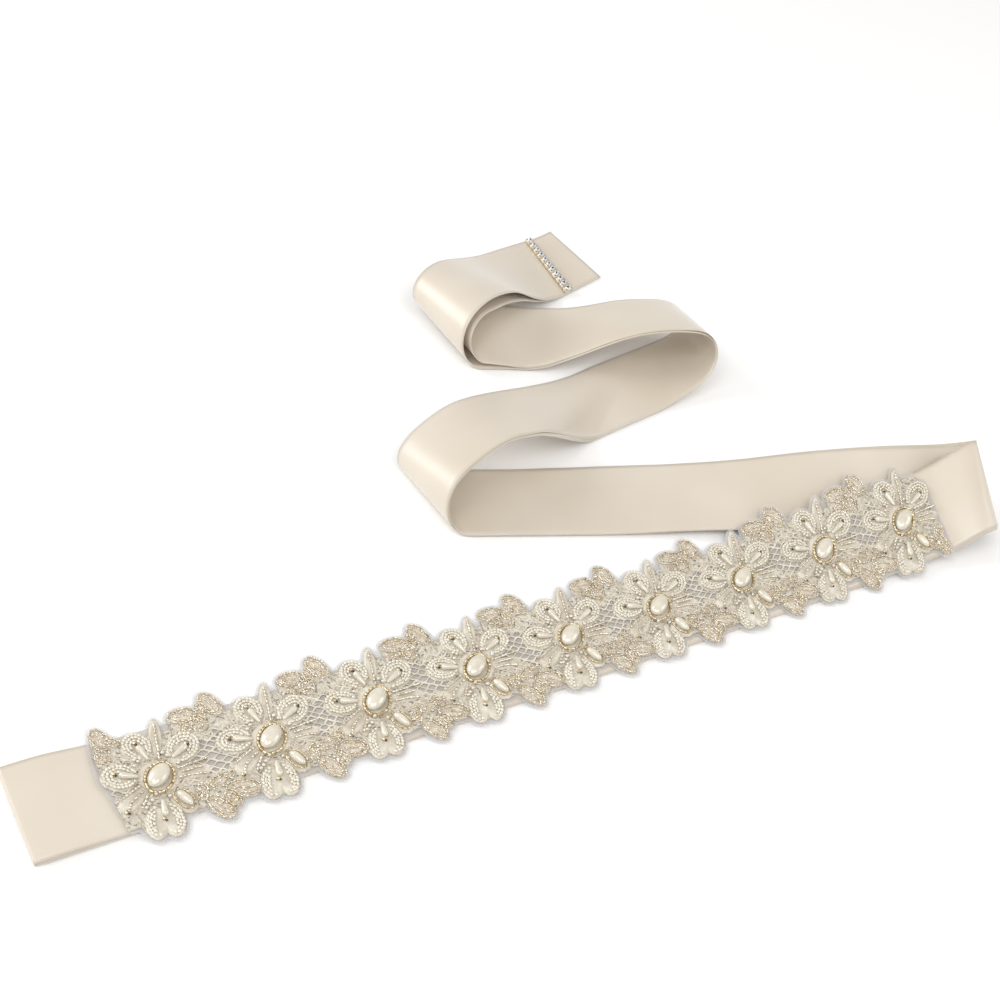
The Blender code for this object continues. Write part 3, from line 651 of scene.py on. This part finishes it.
def cord_tubes(along, across, height, width, kept):
    """Flattened tubes along rows of flat points, as wide as the given half width there."""
    step_along = np.gradient(along, axis=1)
    step_across = np.gradient(across, axis=1)
    length = np.hypot(step_along, step_across)
    turn_along, turn_across = -step_across / length, step_along / length
    angles = np.arange(TUBE_SIDES) * 2.0 * np.pi / TUBE_SIDES
    side = width[..., None] * np.cos(angles)
    rise = TUBE_HALF_HEIGHT * np.sin(angles)
    flat_along = along[..., None] + turn_along[..., None] * side
    flat_across = across[..., None] + turn_across[..., None] * side
    flat_height = np.broadcast_to(height + rise, flat_along.shape)
    points = on_trim(flat_along.ravel(), flat_across.ravel(), flat_height.ravel())
    index = np.arange(along.size * TUBE_SIDES).reshape(*along.shape, TUBE_SIDES)
    index = np.concatenate([index, index[:, :, :1]], axis=2)
    corners = (index[:, :-1, :-1], index[:, :-1, 1:], index[:, 1:, 1:], index[:, 1:, :-1])
    quads = np.stack(corners, axis=-1)[kept[:, :-1] & kept[:, 1:]]
    return points, quads.reshape(-1, 4)


def thread_look():
    """White embroidery cotton, slightly warm, with fine raised stitches."""
    look, tree, shader = new_material("embroidery_cotton", (0.70, 0.65, 0.55), 0.75)
    soft_variation(tree, shader, (0.76, 0.71, 0.61), (0.60, 0.54, 0.44), 260.0)
    shader.inputs["Sheen Weight"].default_value = 0.25
    place = tree.nodes.new("ShaderNodeTexCoord")
    twist = tree.nodes.new("ShaderNodeTexNoise")
    twist.inputs["Scale"].default_value = 1500.0
    tree.links.new(place.outputs["Object"], twist.inputs["Vector"])
    bump = bumped(tree, twist.outputs["Fac"], 0.6, 0.0004)
    tree.links.new(bump.outputs["Normal"], shader.inputs["Normal"])
    return look


def stitched_ground_look():
    """Closed embroidery: cotton in small clumps of stitches, cell by cell, darker between them."""
    look, tree, shader = new_material("stitched_ground", (0.64, 0.58, 0.48), 0.8)
    soft_variation(tree, shader, (0.73, 0.68, 0.58), (0.51, 0.45, 0.355), 650.0)
    shader.inputs["Sheen Weight"].default_value = 0.2
    place = tree.nodes.new("ShaderNodeTexCoord")
    clumps = tree.nodes.new("ShaderNodeTexVoronoi")
    clumps.feature = "DISTANCE_TO_EDGE"
    clumps.inputs["Scale"].default_value = 620.0
    tree.links.new(place.outputs["Object"], clumps.inputs["Vector"])
    bump = bumped(tree, clumps.outputs["Distance"], 0.9, 0.0012)
    tree.links.new(bump.outputs["Normal"], shader.inputs["Normal"])
    return look


cotton = thread_look()
net_along = np.arange(-25.0, (FLOWERS - 1) * PITCH + 22.0, 0.6)
net_row = np.arange(CORD_ROWS)[:, None] - (CORD_ROWS - 1) / 2
net_side = np.where(np.arange(CORD_ROWS)[:, None] % 2 == 0, 1.0, -1.0)
net_phase = 2.0 * np.pi * net_along / HOLE_LENGTH + 1.1 * np.sin(net_along / 6.3 + 0.7 * net_row)
net_across = NET_MIDDLE + net_row * CORD_PITCH + net_side * CORD_PITCH * 0.47 * np.cos(net_phase)
net_across = net_across + 1.1 * np.sin(net_along / 8.3) + 0.3 * np.sin(net_along / 3.7 + 2.0 * net_row)
net_width = CORD_WIDTH * (1.0 + 0.35 * np.sin(net_along / 2.3 + 1.9 * net_row))
net_near, net_far = trim_outline(net_along, 0.2)
net_kept = (net_across > net_near + 0.3) & (net_across < net_far - 0.3)
net_points, net_quads = cord_tubes(
    np.broadcast_to(net_along, net_across.shape), net_across, CORD_HEIGHT, net_width, net_kept
)
net = put_piece("corded_net", net_points, net_quads, cotton)

ground_along = np.arange(-26.0, (FLOWERS - 1) * PITCH + 22.8, GROUND_STEP)
ground_near, ground_far = trim_outline(ground_along, 0.3)
known = ground_far > ground_near + 1.0
ground_along = ground_along[known]
ground_share = np.linspace(0.0, 1.0, GROUND_COLUMNS)
ground_across = ground_near[known, None] + (ground_far - ground_near)[known, None] * ground_share
ground_flat = np.stack(np.broadcast_arrays(ground_along[:, None], ground_across), axis=-1)
ground_relief = np.random.RandomState(3).uniform(-0.12, 0.2, ground_across.size)
ground_quads = sheet_quads(len(ground_along), len(ground_share))
ground_open = open_share(ground_flat[..., 0], ground_flat[..., 1]).ravel()
ground = put_piece(
    "embroidered_ground",
    on_trim(ground_flat[..., 0].ravel(), ground_flat[..., 1].ravel(), GROUND_HEIGHT + ground_relief),
    ground_quads[ground_open[ground_quads].mean(axis=1) < 0.4],
    stitched_ground_look(),
)


# ---- Embroidered flowers
# Each flower is a round middle and padded petals in satin stitch, with a raised rim.
# The stitches run outwards, and the petals are sewn over each other from the middle.

PAD_BASE = 1.1
MIDDLE_RADIUS = 9.5
MIDDLE_HEIGHT = 1.3


def pads(shapes, thickness, sides=28, rings=9, rim=0.28):
    """Domed ellipses: level inside, raised by the rim's share and rounded down to the base."""
    share = np.linspace(0.0, 1.0, rings)
    inside = 1.0 - rim + rim * np.exp(-((share - 0.78) / 0.16) ** 2)
    profile = np.where(share < 0.93, inside, 0.0)
    profile[-2] = 0.55
    angle = np.arange(sides) * 2.0 * np.pi / sides
    along = shapes[:, 3, None, None] * share[:, None] * np.cos(angle)
    across = shapes[:, 4, None, None] * share[:, None] * np.sin(angle)
    cos = np.cos(shapes[:, 2])[:, None, None]
    sin = np.sin(shapes[:, 2])[:, None, None]
    flat_along = shapes[:, 0, None, None] + along * cos - across * sin
    flat_across = shapes[:, 1, None, None] + along * sin + across * cos
    height = PAD_BASE + np.asarray(thickness)[:, None, None] * profile[None, :, None]
    height = np.broadcast_to(height, along.shape)
    points = on_trim(flat_along.ravel(), flat_across.ravel(), height.ravel())
    quads = sheet_quads(rings, sides, close_columns=True)
    first_points = np.arange(len(shapes)) * rings * sides
    all_quads = (quads[None] + first_points[:, None, None]).reshape(-1, 4)
    stitch = np.broadcast_to(angle / (2.0 * np.pi), along.shape)
    outward = np.broadcast_to(share[:, None], along.shape)
    return points, all_quads[:, ::-1], np.stack([stitch.ravel(), outward.ravel()], axis=1)


def satin_stitch_look():
    """Satin stitch: fine ridges that run from the middle of a petal to its rim."""
    look, tree, shader = new_material("satin_stitch", (0.74, 0.69, 0.59), 0.6)
    soft_variation(tree, shader, (0.79, 0.745, 0.64), (0.63, 0.57, 0.465), 180.0)
    shader.inputs["Sheen Weight"].default_value = 0.3
    place = tree.nodes.new("ShaderNodeUVMap")
    place.uv_map = "UVMap"
    ridges = tree.nodes.new("ShaderNodeTexWave")
    ridges.bands_direction = "X"
    set_sockets(ridges, {"Scale": 24.0, "Distortion": 0.8})
    tree.links.new(place.outputs["UV"], ridges.inputs["Vector"])
    bump = bumped(tree, ridges.outputs["Fac"], 0.45, 0.0003)
    tree.links.new(bump.outputs["Normal"], shader.inputs["Normal"])
    return look


satin_stitch = satin_stitch_look()
for number, shapes in enumerate(FLOWER_ELLIPSES):
    middle = np.array([(number * PITCH, 0.0, 0.0, MIDDLE_RADIUS, MIDDLE_RADIUS)])
    pad_points, pad_quads, pad_layout = pads(
        np.concatenate([middle, shapes]), np.concatenate([[MIDDLE_HEIGHT], PETALS[:, 5]])
    )
    flower = put_piece(
        f"embroidered_flower_{number + 1}", pad_points, pad_quads, satin_stitch, pad_layout
    )
    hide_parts(f"flower_{number + 1}")


# ---- Leaf sprays
# Thin leaves of the lace between the flowers, filled with loose stitches. They reach past the
# ribbon's edges on the backing, and their beads come with the small beads.

LEAF_THICKNESS = 0.6
LEAF_SIDES = 24
LEAF_RINGS = 7

spray_sets = [("spray_left_end", END_ELLIPSES[0]), ("spray_right_end", END_ELLIPSES[1])]
spray_sets += [(f"spray_upper_{number}", shapes) for number, shapes in enumerate(UPPER_ELLIPSES, 1)]
spray_sets += [(f"spray_lower_{number}", shapes) for number, shapes in enumerate(LOWER_ELLIPSES, 1)]


def leaf_look():
    """Sheer leaf: thin cotton filling over organza, a little darker than the petals."""
    look, tree, shader = new_material("leaf_filling", (0.62, 0.56, 0.46), 0.7)
    soft_variation(tree, shader, (0.70, 0.64, 0.54), (0.50, 0.44, 0.35), 500.0)
    shader.inputs["Sheen Weight"].default_value = 0.2
    place = tree.nodes.new("ShaderNodeTexCoord")
    stitches = tree.nodes.new("ShaderNodeTexVoronoi")
    stitches.inputs["Scale"].default_value = 900.0
    tree.links.new(place.outputs["Object"], stitches.inputs["Vector"])
    bump = bumped(tree, stitches.outputs["Distance"], 0.6, 0.0004)
    tree.links.new(bump.outputs["Normal"], shader.inputs["Normal"])
    return look


leaf_filling = leaf_look()
for name, shapes in spray_sets:
    thicknesses = np.full(len(shapes), LEAF_THICKNESS)
    pad_points, pad_quads, pad_layout = pads(shapes, thicknesses, LEAF_SIDES, LEAF_RINGS, 0.0)
    leaf = put_piece(f"leaf_{name}", pad_points, pad_quads, leaf_filling, pad_layout)
    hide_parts(name)


# ---- Oval pearls and pearl drops
# Smooth pressed pearls: one oval in the middle of each flower, four drops on the petals with
# their fat end outwards, and a rice pearl at the lower right. Each is sewn through its length.

PEARL_HALF_LENGTH = 6.9
PEARL_HALF_WIDTH = 4.4
PEARL_HEIGHT = 5.4
PEARL_BASE = 2.7
PEARL_SINK = 0.4
PEARL_LEAN = 38.0
PEARL_BACK = 1.0
PEARLS_NEARER = 1.3
DROPS = np.array((
    # inner end along and across, outer end along and across, half width
    (-1.9, 9.0, -4.0, 17.8, 1.6),
    (8.6, 6.3, 17.2, 10.2, 1.6),
    (-9.0, 1.7, -17.4, 5.4, 1.6),
    (-3.8, -13.2, -5.6, -21.8, 1.7),
))
RICE_PEARL = np.array(((3.9, -11.4, 7.8, -20.4, 2.15),))
DROP_HEIGHT = 3.7


def pearl_look():
    """Pearl: pale cream body with a clear, slightly soft gloss over it."""
    look, tree, shader = new_material("pearl", (0.67, 0.615, 0.505), 0.3)
    soft_variation(tree, shader, (0.71, 0.66, 0.55), (0.63, 0.575, 0.46), 300.0)
    set_sockets(shader, {
        "Specular IOR Level": 0.7, "Coat Weight": 1.0, "Coat IOR": 2.0, "Coat Roughness": 0.16,
        "Subsurface Weight": 0.12, "Subsurface Radius": (0.002, 0.0016, 0.001),
        "Subsurface Scale": 1.0,
    })
    return look


pearl = pearl_look()


def ring_faces(rows, sides):
    """Faces of closed rings that follow each other, with a face at each end."""
    last = rows * sides - 1
    ends = np.stack([np.arange(sides), np.arange(last, last - sides, -1)])
    return [sheet_quads(rows, sides, close_columns=True), ends[:, ::-1]]


def round_solid(rows, sides):
    """Closed solid about its own length: rows of place along and radius turned to rings."""
    rows = np.asarray(rows, float)
    angle = np.arange(sides) * 2.0 * np.pi / sides
    along = np.repeat(rows[:, 0], sides)
    across = (rows[:, 1, None] * np.cos(angle)).ravel()
    rise = (rows[:, 1, None] * np.sin(angle)).ravel()
    return np.stack([along, across, rise], axis=1), ring_faces(len(rows), sides)


def repeated(faces, copies, points):
    """The faces of one shape for each copy of it, its points counted on from the last copy's."""
    shifts = (np.arange(copies) * points)[:, None, None]
    return [(part[None] + shifts).reshape(-1, part.shape[1]) for part in faces]


def sewn_on(name, centres, angles, sizes, shape, faces, look, slot):
    """One shape repeated: sized, turned flat to its angle, moved to its centre and laid on the trim."""
    cos = np.cos(angles)[:, None]
    sin = np.sin(angles)[:, None]
    sized = shape[None] * np.asarray(sizes, float)[:, None, :]
    along = centres[:, 0, None] + sized[..., 0] * cos - sized[..., 1] * sin
    across = centres[:, 1, None] + sized[..., 0] * sin + sized[..., 1] * cos
    height = centres[:, 2, None] + sized[..., 2]
    points = on_trim(along.ravel(), across.ravel(), height.ravel())
    all_faces = repeated(faces, len(centres), len(shape))
    return put_piece(name, points, all_faces, look)


tilt = np.linspace(0.0, np.pi, 17)
ball = np.stack([-np.cos(tilt), np.maximum(np.sin(tilt), 0.004)], axis=1)
ball_shape, ball_faces = round_solid(ball, 24)
pearl_rise = PEARL_BASE + PEARL_HEIGHT / 2 - PEARL_SINK
for number in range(FLOWERS):
    oval = sewn_on(
        f"oval_pearl_{number + 1}",
        np.array([(number * PITCH - PEARL_BACK, -PEARLS_NEARER, pearl_rise)]),
        np.radians([PEARL_LEAN]),
        [(PEARL_HALF_LENGTH, PEARL_HALF_WIDTH, PEARL_HEIGHT / 2 + PEARL_SINK)],
        ball_shape,
        ball_faces,
        pearl,
        "pearl",
    )
    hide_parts(f"pearl_{number + 1}")

drop_profile = np.array((
    # share along, share of the half width
    (-1.0, 0.02), (-0.97, 0.28), (-0.8, 0.48), (-0.4, 0.68), (0.0, 0.84), (0.4, 0.97),
    (0.65, 1.0), (0.85, 0.85), (0.96, 0.5), (1.0, 0.02),
))
drop_shape, drop_faces = round_solid(drop_profile, 14)


def drop_places(table):
    """Middle, angle and size of each drop of one flower, repeated for all flowers."""
    reach = table[:, 2:4] - table[:, 0:2]
    angle = np.arctan2(reach[:, 1], reach[:, 0])
    middle = (table[:, 2:4] + table[:, 0:2]) / 2
    along = np.arange(FLOWERS)[:, None] * PITCH + middle[:, 0]
    across = np.broadcast_to(middle[:, 1], along.shape)
    centres = np.stack([along.ravel(), across.ravel(), np.full(along.size, DROP_HEIGHT)], axis=1)
    size = np.stack([np.hypot(*reach.T) / 2, table[:, 4], table[:, 4]], axis=1)
    return centres, np.tile(angle, FLOWERS), np.tile(size, (FLOWERS, 1))


drops = sewn_on("pearl_drops", *drop_places(DROPS), drop_shape, drop_faces, pearl, "pearl")
rice = sewn_on("rice_pearls", *drop_places(RICE_PEARL), ball_shape, ball_faces, pearl, "pearl")


# ---- Small beads
# Seed pearls in rows round the petals, a ring of champagne beads round each oval pearl, gold
# bugles round the rice pearl, rays of silver-lined bugles, dark and gold beads at the tips, and
# silver and gold beads on the leaves.

random = np.random.RandomState(7)


def bead_line(start_along, start_across, end_along, end_across, pitch):
    """Beads on a straight row, evenly spaced: along, across and angle."""
    length = np.hypot(end_along - start_along, end_across - start_across)
    count = max(int(round(length / pitch)), 1)
    share = (np.arange(count) + 0.5) / count
    angle = np.full(count, np.arctan2(end_across - start_across, end_along - start_along))
    along = start_along + (end_along - start_along) * share
    across = start_across + (end_across - start_across) * share
    return np.stack([along, across, angle], axis=1)


def bead_round(
    middle_along, middle_across, lean, half_length, half_width, pitch, first=0.0, last=360.0
):
    """Beads round an ellipse between two angles, evenly spaced along its line."""
    angle = np.radians(np.linspace(first, last, 200))
    along = half_length * np.cos(angle)
    across = half_width * np.sin(angle)
    walked = np.concatenate([[0.0], np.cumsum(np.hypot(np.diff(along), np.diff(across)))])
    count = max(int(round(walked[-1] / pitch)), 1)
    at = np.interp((np.arange(count) + 0.5) / count * walked[-1], walked, angle)
    along = half_length * np.cos(at)
    across = half_width * np.sin(at)
    heading = np.arctan2(half_width * np.cos(at), -half_length * np.sin(at)) + lean
    flat_along = middle_along + along * np.cos(lean) - across * np.sin(lean)
    flat_across = middle_across + along * np.sin(lean) + across * np.cos(lean)
    return np.stack([flat_along, flat_across, heading], axis=1)


def for_all_flowers(beads, height, size, spread, number_of=FLOWERS):
    """Beads of one flower repeated on all, each a little moved and sized by chance."""
    beads = np.concatenate(beads)
    shifts = np.arange(number_of)[:, None, None] * np.array((PITCH, 0.0, 0.0))
    beads = (beads[None] + shifts).reshape(-1, 3)
    count = len(beads)
    along = beads[:, 0] + random.uniform(-spread, spread, count)
    across = beads[:, 1] + random.uniform(-spread, spread, count)
    rise = height + random.uniform(-spread, spread, count) * 0.6
    sizes = np.asarray(size) * random.uniform(0.9, 1.08, (count, 1))
    angles = beads[:, 2] + random.uniform(-0.1, 0.1, count)
    return np.stack([along, across, rise], axis=1), angles, sizes


seed_rows = []
for along, across, angle, half_length, half_width, _ in PETALS[:3]:
    for inset, reach in ((1.35, 165.0), (3.1, 145.0), (4.8, 100.0)):
        seed_rows.append(bead_round(
            along, across, np.radians(angle), half_length - inset, half_width - inset * 0.88, 1.75,
            -reach, reach
        ))
for (along, across, angle, half_length, half_width, _), side in zip(PETALS[3:5], (-1.0, 1.0)):
    for inset, first, last in ((1.4, -25.0, 178.0), (3.1, 0.0, 170.0), (4.6, 20.0, 150.0)):
        seed_rows.append(bead_round(
            along, across, np.radians(angle), half_length - inset, half_width - inset * 0.8, 1.8,
            side * first, side * last
        ))
seed_rows.append(np.array([
    # along, across, angle
    (-7.6, -11.4, 0.0), (-9.6, -13.0, 0.0), (0.6, -12.0, 0.0), (2.2, -13.8, 0.0), (-11.4, -14.2, 0.0),
    (-8.4, 8.4, 0.0), (-6.2, 10.2, 0.0), (7.4, 8.6, 0.0), (6.0, 10.8, 0.0), (-9.8, 6.4, 0.0),
    (-7.4, 11.6, 0.0), (9.0, 10.8, 0.0), (0.4, 14.0, 0.0), (-5.0, -8.8, 0.0), (10.8, 3.4, 0.0),
]))

seed_tilt = np.linspace(0.0, np.pi, 5)
seed_profile = np.stack([-np.cos(seed_tilt), np.maximum(np.sin(seed_tilt), 0.25)], axis=1)
seed_shape, seed_faces = round_solid(seed_profile, 7)
seed_pearls = sewn_on(
    "seed_pearls",
    *for_all_flowers(seed_rows, 2.7, (0.94, 0.94, 0.88), 0.22),
    seed_shape,
    seed_faces,
    pearl,
    "pearl",
)


def metal_bead_look(name, colour, darker, roughness):
    """Metal-lined glass bead: bright, with a change of tone from bead to bead that is partly its own
    tone and partly painted dark reflection.
    """
    look, tree, shader = new_material(name, colour, roughness, 0.7)
    # Noise mixes in the darker colour. It is partly the bead's own tone and partly painted dark
    # reflection that gives the bright and dark contrast of glinting beads.
    soft_variation(tree, shader, colour, darker, 700.0)
    set_sockets(shader, {"Coat Weight": 0.6, "Coat Roughness": 0.06})
    return look


# The second colour of each bead look is the darker tone mixed in by noise. It is partly the beads' own
# tone and partly painted dark reflection.
gold = metal_bead_look("champagne_gold", (0.92, 0.79, 0.53), (0.42, 0.29, 0.13), 0.26)
silver = metal_bead_look("silver_lined", (0.96, 0.91, 0.79), (0.55, 0.45, 0.31), 0.22)
dark = metal_bead_look("dark_bronze", (0.12, 0.08, 0.05), (0.05, 0.035, 0.02), 0.3)

barrel_profile = np.array((
    # share along, share of the radius
    (-1.0, 0.6), (-0.72, 1.0), (0.72, 1.0), (1.0, 0.6),
))
barrel_shape, barrel_faces = round_solid(barrel_profile, 6)
RING_LEAN = 50.0
RAYS = (
    # start along, start across, end along, end across
    (3.3, 8.0, 5.8, 18.0),
    (5.8, 18.0, 8.0, 27.5),
    (9.0, 0.6, 24.0, 0.8),
    (8.2, -4.3, 15.5, -5.2),
    (15.5, -5.2, 20.5, -6.8),
    (10.5, -1.8, 20.0, -2.4),
    (-9.4, -2.2, -21.8, -7.2),
    (-9.4, -5.4, -17.0, -9.6),
    (-17.0, -9.6, -19.5, -14.0),
    (-8.6, -8.2, -13.5, -14.5),
)
TIP_BEADS = np.array((
    # along, across, angle
    (-3.8, 18.9, 0.0),
    (18.3, 10.8, 0.0),
    (-18.3, 5.6, 0.0),
    (-5.9, -23.5, 0.0),
    (-19.8, -15.2, 0.0),
))
GOLD_TIP_SHIFT = (-0.7, 1.1, 0.6)

rice_along, rice_across, rice_end_along, rice_end_across, _ = RICE_PEARL[0]
rice_lean = np.arctan2(rice_end_across - rice_across, rice_end_along - rice_along)
rice_middle = ((rice_along + rice_end_along) / 2, (rice_across + rice_end_across) / 2)
ring_rows = [bead_round(-0.3, -PEARLS_NEARER, np.radians(RING_LEAN), 8.4, 6.3, 2.15)]
rice_rows = [bead_round(*rice_middle, rice_lean, 6.0, 3.7, 1.6)]
ray_rows = [bead_line(*row, 2.0) for row in RAYS]
BARREL_BEADS = (
    # name, rows, height, half length and radii, spread, look, slot
    ("champagne_ring", ring_rows, 3.1, (1.0, 0.84, 0.84), 0.12, gold, "cup_chain"),
    ("bugle_rings", rice_rows, 3.0, (0.7, 0.5, 0.5), 0.1, gold, "cup_chain"),
    ("silver_rays", ray_rows, 2.85, (0.95, 0.6, 0.6), 0.12, silver, "leaf_beads"),
    ("dark_tip_beads", [TIP_BEADS], 3.1, (0.5, 0.5, 0.5), 0.2, dark, "cup_chain"),
    ("gold_tip_beads", [TIP_BEADS + GOLD_TIP_SHIFT], 3.2, (0.85, 0.8, 0.8), 0.2, gold, "cup_chain"),
)
for name, bead_rows, height, size, spread, look, slot in BARREL_BEADS:
    places = for_all_flowers(bead_rows, height, size, spread)
    sewn_on(name, *places, barrel_shape, barrel_faces, look, slot)


LOOSE_BEADS = 6
GOLD_SHARE = 0.16


def leaf_beads(shapes):
    """Beads inside each leaf's edge in two rounds, along its middle, and a few loose ones."""
    rows = []
    for along, across, angle, half_length, half_width in shapes:
        cos, sin = np.cos(angle), np.sin(angle)
        rows.append(bead_round(along, across, angle, half_length - 0.6, half_width - 0.6, 1.5))
        rows.append(bead_round(along, across, angle, half_length - 2.4, half_width - 2.0, 1.7))
        reach = half_length * 0.5
        rows.append(bead_line(
            along - reach * cos, across - reach * sin, along + reach * cos, across + reach * sin, 1.6
        ))
        spot = random.uniform(-0.75, 0.75, (LOOSE_BEADS, 3))
        loose_along = along + spot[:, 0] * half_length * cos - spot[:, 1] * half_width * sin
        loose_across = across + spot[:, 0] * half_length * sin + spot[:, 1] * half_width * cos
        rows.append(np.stack([loose_along, loose_across, spot[:, 2] * 4.0], axis=1))
    return rows


spray_beads = []
for _, shapes in spray_sets:
    spray_beads.extend(leaf_beads(shapes))
all_spray = for_all_flowers(spray_beads, 2.05, (0.6, 0.42, 0.42), 0.35, 1)
is_gold = random.uniform(0.0, 1.0, len(all_spray[0])) < GOLD_SHARE
for name, chosen, look in (
    ("spray_silver_beads", ~is_gold, silver), ("spray_gold_beads", is_gold, gold)
):
    places = [part[chosen] for part in all_spray]
    sewn_on(name, *places, barrel_shape, barrel_faces, look, "leaf_beads")


# ---- Rhinestone cup chain
# A single row of clear stones in square gold-toned cups joined by links, glued and sewn across
# the end of the upper layer to hide its cut edge.

CUPS = 11
CUP_LENGTH = 5.6
CHAIN_MIDDLE = UPPER_END - 3.4
CHAIN_BASE = 1.0
CUP_FILL = 0.93
STONE_FILL = 0.98
cup_across = (np.arange(CUPS) + 0.5) / CUPS * WIDTH - WIDTH / 2
cup_pitch = WIDTH / CUPS


def on_chain(name, shape, faces, look):
    """One shape repeated along the chain: across the ribbon, lengthwise, and up from its base."""
    across = cup_across[:, None] + shape[:, 0]
    along = CHAIN_MIDDLE + np.broadcast_to(shape[:, 1], across.shape)
    height = CHAIN_BASE + np.broadcast_to(shape[:, 2], across.shape)
    points = laid(along.ravel(), across.ravel(), height.ravel())
    all_faces = repeated(faces, CUPS, len(shape))
    return put_piece(name, points, all_faces, look, smooth=False)


def stacked_rings(rows, sides, turn):
    """Closed solid about the upright: rings of a height, a half width and a half length each."""
    rows = np.asarray(rows, float)
    angle = (np.arange(sides) + turn) * 2.0 * np.pi / sides
    across = (rows[:, 1, None] * np.cos(angle)).ravel()
    along = (rows[:, 2, None] * np.sin(angle)).ravel()
    height = np.repeat(rows[:, 0], sides)
    return np.stack([across, along, height], axis=1), ring_faces(len(rows), sides)


half_cup = cup_pitch / 2 * CUP_FILL * np.sqrt(2.0)
half_long = CUP_LENGTH / 2 * np.sqrt(2.0)
cup_rows = (
    # height, half width, half length
    (0.0, half_cup * 0.9, half_long * 0.9),
    (0.5, half_cup, half_long),
    (1.9, half_cup, half_long),
    (2.1, half_cup * 0.93, half_long * 0.93),
    (1.9, half_cup * 0.82, half_long * 0.82),
    (1.1, half_cup * 0.7, half_long * 0.7),
)
cup_shape, cup_faces = stacked_rings(cup_rows, 4, 0.5)
# The cups' darker colour is partly their own tone and partly painted dark reflection.
cup_gold = metal_bead_look("cup_gold", (0.88, 0.80, 0.64), (0.74, 0.62, 0.44), 0.22)
cups = on_chain("chain_cups", cup_shape, cup_faces, cup_gold)
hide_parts("cup_chain")

stone = cup_pitch / 2 * STONE_FILL
stone_rows = (
    # height, half width, half length
    (1.2, stone * 0.3, stone * 0.3),
    (2.1, stone, stone * 1.15),
    (2.4, stone, stone * 1.15),
    (3.1, stone * 0.6, stone * 0.7),
)
stone_shape, stone_faces = stacked_rings(stone_rows, 8, 0.5)
# The clear stone's darker colour is painted dark reflection, standing in for the dark facets of its
# sparkle.
stone_look = metal_bead_look("clear_stone", (0.93, 0.94, 0.96), (0.70, 0.72, 0.76), 0.05)
stones = on_chain("chain_stones", stone_shape, stone_faces, stone_look)
